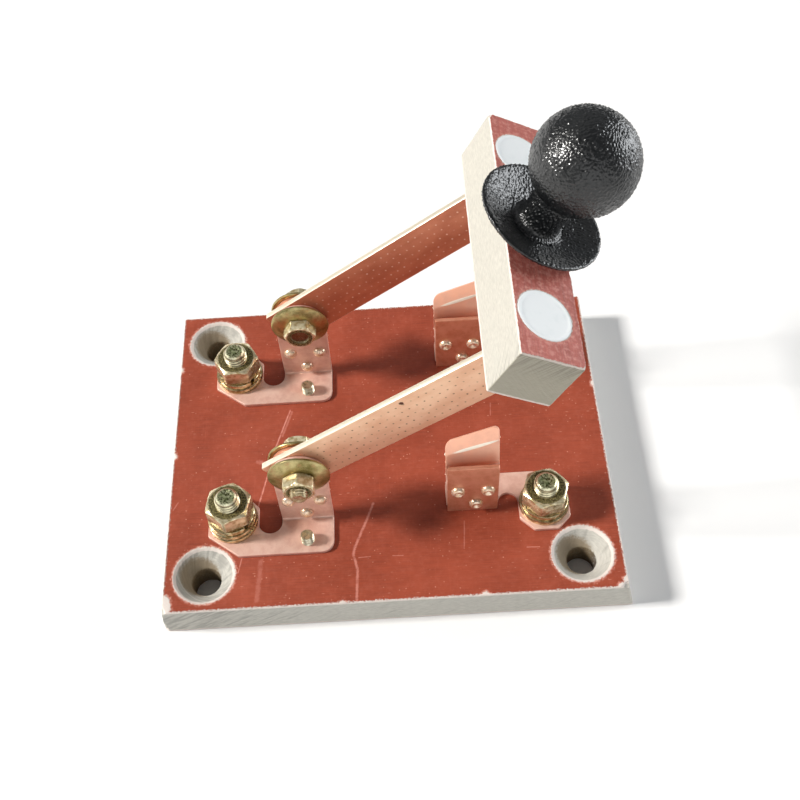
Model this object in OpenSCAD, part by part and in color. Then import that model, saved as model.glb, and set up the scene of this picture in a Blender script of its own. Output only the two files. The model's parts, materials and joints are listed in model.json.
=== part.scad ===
// Two-pole, single-throw open knife switch on a laminated board.
// Origin: middle of the board's underside. +X from the hinges to the clips,
// +Y to the back pole, +Z up. All sizes in millimetres.

/* [Board] */
// Length of the board, along the blades
board_w = 108; // [106:1:140]
// Depth of the board, across the poles
board_d = 87; // [85:1:120]
// Thickness of the board
board_t = 10; // [8:0.5:16]
// Distance of the fixing holes from the short ends
hole_inset_x = 9.5; // [9:0.1:10.5]
// Distance of the fixing holes from the long edges
hole_inset_y = 9.2; // [8.5:0.1:10]
// Diameter of the fixing holes
hole_d = 7; // [4:0.1:9]
// Diameter of the fixing holes' countersinks
sink_d = 14.3; // [12:0.1:15]
// Depth of the countersinks
sink_depth = 3.7; // [2:0.1:5]

/* [Poles] */
// Distance between the two poles
pole_pitch = 43.4; // [40:0.2:48]
// Shift of both poles towards the back edge
pole_shift = 0.6; // [-1:0.1:1.5]
// Distance of the hinge terminals from the board's hinge end
hinge_inset = 16.2; // [15.4:0.2:18]
// Distance of the clip terminals from the board's clip end
clip_inset = 17.2; // [15.4:0.2:19]
// From a hinge terminal to the middle of its jaws
hinge_reach = 17.9; // [17:0.1:19]
// From a clip terminal to the middle of its jaws
clip_reach = 17.1; // [16.6:0.1:18]
// From the terminals' line back to the blade's middle plane
blade_offset = 1.85; // [1.6:0.05:2.2]

/* [Copper strips] */
// Thickness of the copper strip
strip_t = 1; // [0.8:0.1:1.2]
// From a terminal to the strip's long edge
strip_depth = 9.3; // [9:0.1:10.5]
// Width of the pad under a terminal
pad_w = 12.1; // [11.6:0.1:12.6]
// From a terminal to the pad's short end
pad_back = 6.7; // [6.2:0.1:7.5]
// Size of the pad's two short corner cuts
pad_cut = 3.2; // [2:0.1:4]
// Length of the strip's long corner cut
long_cut_x = 7.5; // [5:0.1:8.5]
// Depth of the strip's long corner cut
long_cut_y = 5.6; // [4:0.1:6.5]
// Radius of the strip's round corner
corner_r = 3.3; // [1:0.1:4]
// Depth of the round notch beside the pad, from the terminals' line
notch_depth = 3.7; // [3.4:0.1:4.5]
// Inner radius of the strip's bend
bend_r = 0.6; // [0.4:0.1:0.8]
// Width of the upright tabs
tab_w = 12.4; // [12:0.1:12.8]

/* [Jaws] */
// Thickness of the riveted jaw plates
jaw_t = 1; // [0.8:0.1:1.2]
// Width of the riveted jaw plates
jaw_w = 12; // [11.4:0.1:12.4]
// Height of the clips' straight jaws above the board
clip_jaw_h = 19; // [17:0.5:19]
// Height where the step that opens the jaws begins
step_z = 11; // [10.9:0.05:11.2]
// Height of that step
step_h = 1.2; // [1:0.1:1.3]
// Height of the flared lip's fold on the hinge side
fold_low = 19.5; // [19.3:0.1:20.5]
// Height of the flared lip's fold on the terminal side
fold_high = 23.7; // [22:0.1:24.5]
// Length of the flared lip
flare_len = 3.8; // [3:0.1:5]
// Lean of the flared lip
flare_angle = 40; // [30:1:45]
// Radius of the flared lip's corners
flare_r = 1.5; // [0.8:0.1:1.8]
// Clearance on each side of a blade in the hinge jaws
hinge_fit = 0.1; // [0.08:0.01:0.15]
// Clearance on each side of a blade in the clip jaws
clip_fit = 0.15; // [0.1:0.01:0.2]

/* [Rivets] */
// Diameter of the rivets' shanks
rivet_d = 2.2; // [1.8:0.1:2.4]
// Diameter of the rivets' heads
rivet_head_d = 3.4; // [3:0.1:3.6]
// Height of the rivets' heads
rivet_head_h = 1.1; // [0.8:0.1:1.2]
// Diameter of the rivets' formed tails
rivet_tail_d = 2.7; // [2.6:0.1:2.8]
// Height of the rivets' formed tails
rivet_tail_h = 0.7; // [0.5:0.1:0.9]
// Half the distance between the two upper rivets
rivet_x = 3.75; // [3.6:0.05:4]
// Height of the upper rivets above the board
rivet_high = 9.5; // [9:0.1:9.6]
// Height of the lower rivet above the board
rivet_low = 3.8; // [3.6:0.1:4.4]

/* [Terminals] */
// Diameter of the terminal studs' free ends
stud_d = 5.8; // [5.2:0.1:6]
// Diameter of the studs where their threads lie in the nuts
stud_core_d = 5.2; // [4.6:0.1:5.2]
// Height of the studs above the board
stud_rise = 11.8; // [11:0.1:13]
// Width across the flats of the stud nuts
nut_af = 10; // [9:0.1:10]
// Height of the stud nuts
nut_h = 4.9; // [4:0.1:5.2]
// Diameter of the flat washers
washer_d = 12; // [11:0.1:12]
// Thickness of the flat washers
washer_t = 1.5; // [1:0.1:1.6]
// Diameter of the split spring washers
spring_d = 11.2; // [10:0.1:11.4]
// Thickness of the split spring washers
spring_t = 1.5; // [1.2:0.1:1.6]
// Width of the split in a spring washer
split_w = 0.9; // [0.5:0.1:1.2]
// Height of the studs' hex heads, sunk in the board's underside
stud_head_h = 4; // [3:0.1:4.5]
// Diameter of the screws that hold the strips' free ends
screw_d = 2.6; // [2:0.1:2.8]
// Height of those screws' ends above the board
screw_rise = 3.9; // [2.5:0.1:4.2]
// From the terminals' line to those screws
screw_y = 6.2; // [5.8:0.1:6.5]

/* [Pivots] */
// Height of the pivot axis above the board
pivot_h = 21.2; // [21:0.1:22]
// Diameter of the pivot bolts
pivot_d = 4; // [3.5:0.1:4.4]
// Running clearance round a pivot bolt in its blade
pivot_fit = 0.07; // [0.05:0.01:0.1]
// Width across the flats of the pivot nuts and heads
pivot_af = 7; // [6.6:0.1:7.4]
// Height of the pivot nuts
pivot_nut_h = 3.2; // [2.8:0.1:3.6]
// Height of the pivot bolts' heads
pivot_head_h = 2.8; // [2.4:0.1:3.2]
// Length of bolt that stands out of a pivot nut
pivot_end = 1.6; // [1:0.1:2.5]
// Diameter of the dished washers
dish_d = 14.2; // [13:0.1:15]
// Thickness of the dished washers
dish_t = 0.8; // [0.6:0.1:1]
// Height of the dish
dish_rise = 0.9; // [0.5:0.1:1.2]

/* [Lever] */
// Angle of the blades above level
open_angle = 37.4; // [10:0.1:80]
// Thickness of the blades
blade_t = 1.5; // [1.2:0.1:1.7]
// Width of the blades
blade_w = 12.4; // [12:0.1:12.6]
// Length of blade behind the pivot
blade_tail = 6; // [5:0.1:6.1]
// From the middle of the clips to the crossbar's middle, along the closed blades
bar_past_clip = 26.4; // [25.4:0.1:30]
// Height of the crossbar's middle above the blades' middle line
bar_rise = 4.2; // [3.6:0.1:4.8]
// Tilt of the crossbar against the blades
bar_tilt = 25.2; // [20:0.1:28]
// Length of the crossbar
bar_len = 64.6; // [60:0.2:72]
// Width of the crossbar's faced sides
bar_w = 14.2; // [13.6:0.1:15]
// Thickness of the crossbar between its faced sides
bar_t = 13.4; // [12.6:0.1:14]
// Width of the blades' tongues inside the crossbar
tongue_w = 10; // [8:0.1:10.4]
// Depth of the blades' tongues inside the crossbar
tongue_l = 9; // [6:0.1:10]
// Clearance round the tongues
tongue_fit = 0.05; // [0.03:0.01:0.1]
// Diameter of the round caps over the blades' screws
cap_d = 12; // [10:0.1:12.2]
// Thickness of the caps
cap_t = 1.6; // [1:0.1:2]
// Shift of the caps towards the crossbar's upper edge
cap_shift = 0.6; // [0:0.1:0.7]

/* [Knob] */
// Diameter of the ball
ball_d = 21.6; // [19:0.1:23]
// From the crossbar's face to the ball's middle
ball_h = 19; // [18:0.1:21]
// Diameter of the neck
neck_d = 9; // [7:0.1:10]
// Diameter of the dished flange
flange_d = 27.5; // [24:0.1:30]
// Height of the flange's rim
rim_h = 3.7; // [3:0.1:4.4]
// Thickness of the flange's rim
rim_t = 0.9; // [0.7:0.1:1.2]
// Diameter of the knob's foot on the crossbar
foot_d = 12; // [10:0.1:13.4]
// Shift of the knob towards the back pole
knob_shift = 1.5; // [0:0.1:2]

/* [Hidden] */
$fn = 96;
eps = 0.01;
front = -1;
back = 1;
// Gaps round shanks, round and over sunk heads, and round studs in their holes
shank_gap = 0.05;
head_gap = 0.4;
bore_gap = 0.2;
// Lengths turned down at the ends of the studs, strip screws and pivot bolts
stud_cut = 0.9;
screw_cut = 0.3;
bolt_cut = 0.5;
// Length by which the flat parts of one bent plate run into each other
lap = 0.3;

// Places that several pieces share
hinge_stud_x = board_w / 2 - hinge_inset;
clip_stud_x = board_w / 2 - clip_inset;
pivot_x = hinge_reach - hinge_stud_x;
clip_x = clip_stud_x - clip_reach;
bar_along = clip_x - pivot_x + bar_past_clip;
hinge_gap = blade_t / 2 + hinge_fit;
clip_gap = blade_t / 2 + clip_fit;
hinge_fold = blade_offset - hinge_gap - strip_t;
clip_fold = -(blade_offset - clip_gap + strip_t);
hinge_face = hinge_gap + strip_t;
dish_h = dish_rise + dish_t;
head_recess_d = nut_af / cos(30) + 2 * head_gap;
screw_head_d = 2 * screw_d;
screw_head_h = (screw_head_d - screw_d) / 2;
bar_mid_y = pole_shift + blade_offset;
fold_angle = atan2(fold_high - fold_low, tab_w);

function pole_y(side) = pole_shift + side * pole_pitch / 2;
function blade_y(side) = pole_y(side) + blade_offset;
function stack_z(washers) = strip_t + washers * washer_t;
function washers_at(end, side) = end == "hinge" && side == front ? 2 : 1;
function lift_at(end, side) = (washers_at(end, side) - 1) * washer_t;
function dome_r(r, h) = (r * r + h * h) / (2 * h);

// ---- frames ----

// Stands a child on the board's top at a pole, its strip running to +x from the terminal
module at_terminal(end, side) {
    if (end == "hinge")
        translate([-hinge_stud_x, pole_y(side), board_t]) children();
    else
        translate([clip_stud_x, pole_y(side), board_t]) rotate([0, 0, 180]) children();
}

// Stands a child on the board's top, in a blade's plane at a pair of jaws
module at_jaws(x, side) {
    translate([x, blade_y(side), board_t]) children();
}

// Puts a child on a pole's pivot axis, its +z pointing to the front or the back
module at_pivot(side, way) {
    at_jaws(pivot_x, side) translate([0, 0, pivot_h]) rotate([-way * 90, 0, 0]) children();
}

// Lever frame: origin on the pivot axis, +x along the blades
module on_lever() {
    translate([pivot_x, 0, board_t + pivot_h]) rotate([0, -open_angle, 0]) children();
}

// Crossbar frame: origin in its middle, +x out of the face that carries the knob
module on_bar() {
    translate([bar_along, 0, bar_rise]) rotate([0, -bar_tilt, 0]) children();
}

// Turns a flat outline in x and z into a plate from y = from to y = to
module upright(from, to) {
    translate([0, to, 0]) rotate([90, 0, 0]) linear_extrude(to - from) children();
}

// Turns a section in y and z into a strip of that width along x, centred on x = 0
module along(width) {
    translate([-width / 2, 0, 0]) rotate([90, 0, 90]) linear_extrude(width) children();
}

// ---- small shapes ----

module hex_prism(af, h) {
    cylinder(d = af / cos(30), h = h, $fn = 6);
}

// Hexagon with its corners turned down at the top, and at the bottom too if both is true
module turned_hex(af, h, both) {
    turn = 0.08 * af;
    wide = 0.6 * af;
    face = 0.475 * af;
    intersection() {
        hex_prism(af, h);
        rotate_extrude() polygon([
            [0, 0], [both ? face : wide, 0], [wide, turn], [wide, h - turn], [face, h], [0, h]
        ]);
    }
}

// Round bar with a turned-down end at the top
module turned_rod(d, h, cut) {
    rotate_extrude()
        polygon([[0, 0], [d / 2, 0], [d / 2, h - cut], [d / 2 - cut, h], [0, h]]);
}

// Low dome standing on z = 0
module dome(d, h) {
    intersection() {
        translate([0, 0, h - dome_r(d / 2, h)]) sphere(r = dome_r(d / 2, h));
        cylinder(d = d + 1, h = h + 1);
    }
}

module ring(outer, inner, h) {
    difference() {
        cylinder(d = outer, h = h);
        translate([0, 0, -1]) cylinder(d = inner, h = h + 2);
    }
}

module rivet_places() {
    for (p = [[-rivet_x, rivet_high], [rivet_x, rivet_high], [0, rivet_low]])
        translate([p[0], 0, p[1]]) children();
}

module rivet_holes_2d() {
    for (p = [[-rivet_x, rivet_high], [rivet_x, rivet_high], [0, rivet_low]])
        translate(p) circle(d = rivet_d + 2 * shank_gap);
}

// ---- board ----

module base_board() {
    color([0.60, 0.25, 0.20]) difference() {
        translate([-board_w / 2, -board_d / 2, 0]) cube([board_w, board_d, board_t]);
        for (sx = [-1, 1], sy = [-1, 1])
            translate([sx * (board_w / 2 - hole_inset_x), sy * (board_d / 2 - hole_inset_y), 0]) {
                translate([0, 0, -1]) cylinder(d = hole_d, h = board_t + 2);
                translate([0, 0, board_t - sink_depth])
                    cylinder(d1 = hole_d, d2 = sink_d, h = sink_depth);
                translate([0, 0, board_t - eps]) cylinder(d = sink_d, h = 1);
            }
        for (end = ["hinge", "clip"], side = [front, back])
            at_terminal(end, side) translate([0, 0, -board_t]) {
                translate([0, 0, -1]) cylinder(d = stud_d + 2 * bore_gap, h = board_t + 2);
                translate([0, 0, -1]) cylinder(d = head_recess_d, h = stud_head_h + head_gap + 1);
                screw_place(end) {
                    translate([0, 0, -1])
                        cylinder(d = screw_d + 2 * shank_gap, h = board_t + 2);
                    translate([0, 0, -eps])
                        cylinder(d1 = screw_head_d + 2 * shank_gap, d2 = screw_d + 2 * shank_gap,
                                 h = screw_head_h);
                }
            }
    }
}

module screw_place(end) {
    translate([end == "hinge" ? hinge_reach : clip_reach, -screw_y, 0]) children();
}

// ---- copper strips ----

// Flat outline of a strip: pad round the terminal, arm, and foot under the tab
module strip_outline(reach, fold) {
    half = pad_w / 2;
    left = reach - tab_w / 2;
    right = reach + tab_w / 2;
    edge = fold - bend_r;
    notch_r = (left - half) / 2;
    difference() {
        union() {
            polygon([
                [-half, long_cut_y - strip_depth], [long_cut_x - half, -strip_depth],
                [right - corner_r, -strip_depth], [right, corner_r - strip_depth],
                [right, edge], [half, edge],
                [half, pad_back - pad_cut], [half - pad_cut, pad_back],
                [pad_cut - half, pad_back], [-half, pad_back - pad_cut]
            ]);
            translate([right - corner_r, corner_r - strip_depth]) circle(r = corner_r);
        }
        translate([half + notch_r, notch_r - notch_depth]) circle(r = notch_r);
        translate([half, notch_r - notch_depth]) square([2 * notch_r, strip_depth]);
        circle(d = stud_d + 2 * bore_gap);
        translate([reach, -screw_y]) circle(d = screw_d + 2 * shank_gap);
    }
}

// Section of the bend in y and z: end of the foot, quarter ring, and start of the tab
module bend_section(fold) {
    high = strip_t + bend_r;
    translate([fold - bend_r - lap, 0]) square([lap, strip_t]);
    translate([fold, high]) square([strip_t, lap]);
    translate([fold - bend_r, high]) intersection() {
        difference() {
            circle(r = bend_r + strip_t);
            circle(r = bend_r);
        }
        translate([0, -high]) square(high);
    }
}

module strip_foot(reach, fold) {
    linear_extrude(strip_t) strip_outline(reach, fold);
    translate([reach, 0, 0]) along(tab_w) bend_section(fold);
}

// Upright outline with a round top about the pivot
module round_top(width, bottom) {
    difference() {
        union() {
            translate([-width / 2, bottom]) square([width, pivot_h - bottom]);
            translate([0, pivot_h]) circle(d = width);
        }
        rivet_holes_2d();
        translate([0, pivot_h]) circle(d = pivot_d + 2 * pivot_fit);
    }
}

module hinge_strip(side) {
    color([0.80, 0.50, 0.42]) union() {
        at_terminal("hinge", side) strip_foot(hinge_reach, hinge_fold);
        at_jaws(pivot_x, side) upright(-hinge_face, -hinge_gap) round_top(tab_w, strip_t + bend_r);
    }
}

// Section of a stepped plate in y and z: foot against the riveted side, slanting step, and
// wall on the far side of the blade
module step_section(inner, shift, thick, top) {
    high = step_z + step_h;
    polygon([
        [inner, 0], [inner + thick, 0], [inner + thick, step_z], [inner + thick + shift, high],
        [inner + thick + shift, top], [inner + shift, top], [inner + shift, high], [inner, step_z]
    ]);
}

module hinge_jaw(side) {
    color([0.74, 0.44, 0.36]) at_jaws(pivot_x, side) intersection() {
        along(2 * jaw_w) step_section(-hinge_gap, 2 * hinge_gap, jaw_t, 2 * pivot_h);
        upright(-2 * hinge_face, 2 * hinge_face) round_top(jaw_w, 0);
    }
}

// Section of the tall tab across its fold: wall below the origin, flared lip above it
module lip_section() {
    long = flare_len + tab_w * sin(fold_angle) + strip_t;
    lean = [sin(flare_angle), cos(flare_angle)];
    out = [cos(flare_angle), -sin(flare_angle)];
    polygon([
        [0, -fold_high], [0, 0], long * lean, long * lean + strip_t * out,
        [strip_t, -strip_t * tan(flare_angle / 2)], [strip_t, -fold_high]
    ]);
}

// Upright outline of the tall tab above its step: the top is parallel to the fold, and its
// two corners are round
module tall_outline() {
    half = tab_w / 2;
    top = (fold_low + fold_high) / 2 + flare_len * cos(flare_angle) / cos(fold_angle);
    mids = [for (x = [half - flare_r, flare_r - half])
        [x, top + x * tan(fold_angle) - flare_r / cos(fold_angle)]];
    up = flare_r * [-sin(fold_angle), cos(fold_angle)];
    polygon([
        [-half, step_z + step_h], [half, step_z + step_h],
        [half, mids[0][1]], mids[0] + up, mids[1] + up, [-half, mids[1][1]]
    ]);
    for (mid = mids) translate(mid) circle(r = flare_r);
}

// Tall tab: riveted foot, step, straight wall up to the sloping fold, and flared lip
module clip_tall_tab() {
    low = strip_t + bend_r;
    high = step_z + step_h + lap;
    intersection() {
        along(2 * tab_w) step_section(-clip_gap, 2 * clip_gap, strip_t, fold_high);
        upright(-2 * strip_t, 3 * strip_t) difference() {
            translate([-tab_w / 2, low]) square([tab_w, high - low]);
            rivet_holes_2d();
        }
    }
    intersection() {
        upright(0, 2 * flare_len) tall_outline();
        translate([0, clip_gap, (fold_low + fold_high) / 2]) rotate([0, -fold_angle, 0])
            along(2 * tab_w) lip_section();
    }
}

module clip_strip(side) {
    color([0.80, 0.50, 0.42]) union() {
        at_terminal("clip", side) strip_foot(clip_reach, clip_fold);
        at_jaws(clip_x, side) clip_tall_tab();
    }
}

module clip_jaw(side) {
    color([0.74, 0.44, 0.36]) at_jaws(clip_x, side) upright(-clip_gap - jaw_t, -clip_gap)
        difference() {
            translate([-jaw_w / 2, 0]) square([jaw_w, clip_jaw_h]);
            rivet_holes_2d();
        }
}

// ---- rivets ----

// Rivet along +y: dimpled head before y = from, formed tail behind y = to
module rivet(from, to) {
    dimple_d = 0.35 * rivet_head_d;
    dimple_depth = 0.36 * rivet_head_h;
    translate([0, from, 0]) rotate([90, 0, 0]) difference() {
        dome(rivet_head_d, rivet_head_h);
        translate([0, 0, rivet_head_h - dimple_depth]) cylinder(d = dimple_d, h = rivet_head_h);
    }
    translate([0, from - eps, 0]) rotate([-90, 0, 0])
        cylinder(d = rivet_d, h = to - from + 2 * eps);
    translate([0, to, 0]) rotate([-90, 0, 0]) dome(rivet_tail_d, rivet_tail_h);
}

module hinge_rivets(side) {
    color([0.86, 0.80, 0.62]) at_jaws(pivot_x, side) rivet_places()
        rivet(-hinge_face, jaw_t - hinge_gap);
}

module clip_rivets(side) {
    color([0.86, 0.80, 0.62]) at_jaws(clip_x, side) rivet_places()
        rivet(-clip_gap - jaw_t, strip_t - clip_gap);
}

// ---- terminals ----

module strip_screws(end) {
    head_r = screw_head_d / 2;
    shank_r = screw_d / 2;
    top = board_t + screw_rise;
    color([0.80, 0.78, 0.70]) for (side = [front, back])
        at_terminal(end, side) screw_place(end) translate([0, 0, -board_t]) rotate_extrude()
            polygon([
                [0, 0], [head_r, 0], [shank_r, screw_head_h], [shank_r, top - screw_cut],
                [shank_r - screw_cut, top], [0, top]
            ]);
}

function nut_z(end, side) = stack_z(washers_at(end, side)) + spring_t;

// Stud with a sunk hex head; its free end above the nut is as wide as the thread's crests
module stud(end, side) {
    free = nut_z(end, side) + nut_h + shank_gap;
    color([0.78, 0.76, 0.58]) at_terminal(end, side) {
        translate([0, 0, head_gap - board_t]) {
            hex_prism(nut_af, stud_head_h);
            cylinder(d = stud_core_d, h = board_t - head_gap + free + lap);
        }
        translate([0, 0, free])
            turned_rod(stud_d, stud_rise + lift_at(end, side) - free, stud_cut);
    }
}

module stud_washer(end, side, level) {
    color([0.80, 0.76, 0.56]) at_terminal(end, side)
        translate([0, 0, stack_z(level)]) ring(washer_d, stud_d + 2 * bore_gap, washer_t);
}

// Ring with a slanting split across one side, turned to where it came to rest
module spring_washer(end, side) {
    turn = end == "hinge" ? -50 : 130;
    slant = 25;
    color([0.76, 0.74, 0.60]) at_terminal(end, side)
        translate([0, 0, stack_z(washers_at(end, side))]) difference() {
            ring(spring_d, stud_d + 2 * bore_gap, spring_t);
            rotate([0, 0, turn]) translate([stud_d / 4, 0, spring_t / 2]) rotate([slant, 0, 0])
                translate([0, -split_w / 2, -spring_t]) cube([spring_d / 2, split_w, 2 * spring_t]);
        }
}

// Nut turned to where it was tightened
module stud_nut(end, side) {
    turn = end == "clip" ? 12 : side == front ? 20 : 0;
    color([0.72, 0.70, 0.50]) at_terminal(end, side)
        translate([0, 0, nut_z(end, side)]) rotate([0, 0, turn])
            difference() {
                turned_hex(nut_af, nut_h, true);
                translate([0, 0, -1]) cylinder(d = stud_core_d + 2 * shank_gap, h = nut_h + 2);
            }
}

// ---- pivots ----

// Bolt with its recessed hex head on the inner side and its nut on the board's outer side
module pivot_bolt(side) {
    start = hinge_face + dish_h;
    recess = 0.18 * pivot_head_h;
    color([0.80, 0.76, 0.54]) at_pivot(side, -side) {
        difference() {
            translate([0, 0, start]) turned_hex(pivot_af, pivot_head_h, false);
            translate([0, 0, start + pivot_head_h - recess])
                cylinder(d = 0.6 * pivot_af, h = pivot_head_h);
        }
        rotate([180, 0, 0]) translate([0, 0, -start - eps])
            turned_rod(pivot_d, 2 * start + pivot_nut_h + pivot_end + eps, bolt_cut);
    }
}

module pivot_nut(side) {
    color([0.80, 0.76, 0.54]) at_pivot(side, side) translate([0, 0, hinge_face + dish_h])
        rotate([0, 0, 30]) difference() {
            turned_hex(pivot_af, pivot_nut_h, true);
            translate([0, 0, -1]) cylinder(d = pivot_d + 2 * shank_gap, h = pivot_nut_h + 2);
        }
}

// Washer dished away from the jaws, its rim on z = 0
module dished_washer() {
    inner = pivot_d / 2 + bore_gap;
    flat = inner + 0.25 * pivot_d;
    rotate_extrude() polygon([
        [dish_d / 2, 0], [dish_d / 2, dish_t], [flat, dish_h], [inner, dish_h],
        [inner, dish_rise], [flat, dish_rise], [dish_d / 2 - dish_t, 0]
    ]);
}

module dished_washers(side) {
    color([0.74, 0.70, 0.46]) for (way = [front, back])
        at_pivot(side, way) translate([0, 0, hinge_face]) dished_washer();
}

// ---- lever ----

// Tongue zone inside the crossbar, in the crossbar's frame, as an outline in x and z
module tongue_outline(gap) {
    translate([-bar_t / 2 - 2, -tongue_w / 2 - gap]) square([tongue_l + 2 + gap, tongue_w + 2 * gap]);
}

module on_bar_2d() {
    translate([bar_along, bar_rise]) rotate(bar_tilt) children();
}

// Flat bar with rounded tail corners, cut to enter the crossbar's underside as a tongue
module blade(side) {
    r = 0.8;
    long = bar_along + bar_w;
    color([0.90, 0.66, 0.50]) on_lever() translate([0, blade_y(side), 0])
        upright(-blade_t / 2, blade_t / 2) difference() {
            intersection() {
                union() {
                    translate([-blade_tail, r - blade_w / 2]) square([long, blade_w - 2 * r]);
                    translate([r - blade_tail, -blade_w / 2]) square([long, blade_w]);
                    for (s = [-1, 1])
                        translate([r - blade_tail, s * (blade_w / 2 - r)]) circle(r = r);
                }
                on_bar_2d() union() {
                    translate([-2 * bar_along - bar_t / 2, -bar_along])
                        square([2 * bar_along, 2 * bar_along]);
                    tongue_outline(0);
                }
            }
            circle(d = pivot_d + 2 * pivot_fit);
        }
}

module crossbar() {
    color([0.62, 0.27, 0.22]) on_lever() difference() {
        on_bar() translate([-bar_t / 2, bar_mid_y - bar_len / 2, -bar_w / 2])
            cube([bar_t, bar_len, bar_w]);
        for (side = [front, back]) {
            on_bar() translate([0, blade_y(side), 0])
                upright(-blade_t / 2 - tongue_fit, blade_t / 2 + tongue_fit)
                    tongue_outline(tongue_fit);
            on_bar() cap_place(side) translate([0, 0, -cap_t])
                cylinder(d = cap_d + 2 * tongue_fit, h = cap_t + 1);
        }
    }
}

// Middle of a cap on the crossbar's face, with +z out of the face
module cap_place(side) {
    translate([bar_t / 2, blade_y(side), cap_shift]) rotate([0, 90, 0]) children();
}

module cap(side) {
    color([0.88, 0.92, 0.93]) on_lever() on_bar() cap_place(side)
        translate([0, 0, -cap_t]) cylinder(d = cap_d, h = cap_t);
}

// Ball on a neck, with a thin flange that is dished towards the ball
module knob() {
    ball_r = ball_d / 2;
    neck_r = neck_d / 2;
    foot_r = foot_d / 2;
    rim_r = flange_d / 2;
    rim_low = rim_h - rim_t;
    floor_h = 1.5;
    fillet = 1;
    curl = 1.6;
    sink = 0.5;
    join = ball_h - sqrt(ball_r * ball_r - neck_r * neck_r) + sink;
    color([0.12, 0.12, 0.13]) on_lever() on_bar()
        translate([bar_t / 2, bar_mid_y + knob_shift, 0]) rotate([0, 90, 0]) union() {
            translate([0, 0, ball_h]) sphere(r = ball_r);
            rotate_extrude() polygon([
                // outside of the flange, from the foot up to the rim
                [0, 0], [foot_r, 0], [foot_r + curl, floor_h / 3], [rim_r - curl, rim_low - fillet],
                [rim_r, rim_low], [rim_r, rim_h], [rim_r - rim_t, rim_h],
                // inside of the dish, and up the neck into the ball
                [foot_r + curl, floor_h + rim_t / 2], [neck_r + fillet, floor_h],
                [neck_r, floor_h + fillet], [neck_r, join], [0, join]
            ]);
        }
}

// ---- nodes ----

base_board();
hinge_strip(front);  // hinge_strip_front
hinge_strip(back);  // hinge_strip_back
hinge_jaw(front);  // hinge_jaw_front
hinge_jaw(back);  // hinge_jaw_back
hinge_rivets(front);  // hinge_rivets_front
hinge_rivets(back);  // hinge_rivets_back
clip_strip(front);  // clip_strip_front
clip_strip(back);  // clip_strip_back
clip_jaw(front);  // clip_jaw_front
clip_jaw(back);  // clip_jaw_back
clip_rivets(front);  // clip_rivets_front
clip_rivets(back);  // clip_rivets_back
strip_screws("hinge");  // strip_screws_hinge
strip_screws("clip");  // strip_screws_clip
stud("hinge", front);  // stud_hinge_front
stud("hinge", back);  // stud_hinge_back
stud("clip", front);  // stud_clip_front
stud("clip", back);  // stud_clip_back
stud_washer("hinge", front, 0);  // washer_hinge_front
stud_washer("hinge", back, 0);  // washer_hinge_back
stud_washer("clip", front, 0);  // washer_clip_front
stud_washer("clip", back, 0);  // washer_clip_back
stud_washer("hinge", front, 1);  // second_washer
spring_washer("hinge", front);  // spring_hinge_front
spring_washer("hinge", back);  // spring_hinge_back
spring_washer("clip", front);  // spring_clip_front
spring_washer("clip", back);  // spring_clip_back
stud_nut("hinge", front);  // nut_hinge_front
stud_nut("hinge", back);  // nut_hinge_back
stud_nut("clip", front);  // nut_clip_front
stud_nut("clip", back);  // nut_clip_back
pivot_bolt(front);  // pivot_bolt_front
pivot_bolt(back);  // pivot_bolt_back
pivot_nut(front);  // pivot_nut_front
pivot_nut(back);  // pivot_nut_back
dished_washers(front);  // dished_washers_front
dished_washers(back);  // dished_washers_back
blade(front);  // blade_front
blade(back);  // blade_back
crossbar();
cap(front);  // cap_front
cap(back);  // cap_back
knob();
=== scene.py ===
"""Two-pole knife switch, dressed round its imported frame.

Shapes are surfaces worked out with numpy in millimetres, and finishes are node materials.
+X runs from the hinges to the clips, +Y to the back pole, +Z up.
"""

import json
import logging
import math
from collections.abc import Callable, Sequence
from dataclasses import dataclass, field, replace
from enum import Enum
from functools import reduce

import bmesh
import bpy
import numpy as np
from mathutils import Matrix, Vector
from mathutils.geometry import delaunay_2d_cdt

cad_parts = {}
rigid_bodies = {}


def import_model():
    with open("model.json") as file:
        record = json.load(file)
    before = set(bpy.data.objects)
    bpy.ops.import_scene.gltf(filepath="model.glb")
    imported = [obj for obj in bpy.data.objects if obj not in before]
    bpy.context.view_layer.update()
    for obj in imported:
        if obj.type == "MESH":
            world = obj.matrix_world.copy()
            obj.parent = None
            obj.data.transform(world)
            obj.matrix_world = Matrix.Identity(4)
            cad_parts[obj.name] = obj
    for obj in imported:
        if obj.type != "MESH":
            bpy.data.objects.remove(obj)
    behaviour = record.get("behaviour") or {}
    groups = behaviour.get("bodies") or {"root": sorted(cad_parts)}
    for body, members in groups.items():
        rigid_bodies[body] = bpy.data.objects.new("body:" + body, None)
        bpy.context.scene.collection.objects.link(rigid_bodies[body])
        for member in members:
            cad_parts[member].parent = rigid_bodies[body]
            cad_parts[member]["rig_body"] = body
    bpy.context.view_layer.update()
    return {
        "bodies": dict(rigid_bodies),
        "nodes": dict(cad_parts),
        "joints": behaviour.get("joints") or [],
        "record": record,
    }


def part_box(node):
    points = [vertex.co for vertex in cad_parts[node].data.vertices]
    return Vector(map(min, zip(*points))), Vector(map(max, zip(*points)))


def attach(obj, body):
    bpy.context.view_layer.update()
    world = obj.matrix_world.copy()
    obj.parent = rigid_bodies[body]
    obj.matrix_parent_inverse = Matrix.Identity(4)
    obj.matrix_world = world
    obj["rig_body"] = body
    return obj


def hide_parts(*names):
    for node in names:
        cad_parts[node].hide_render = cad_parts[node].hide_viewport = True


Array = np.ndarray
Socket = bpy.types.NodeSocket
Point = tuple[float, float]
Triple = tuple[float, float, float]
Colour = tuple[float, float, float]  # red, green and blue as a screen shows them, from 0 to 255
Spot = tuple[float, float, float]  # middle and radius

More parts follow.
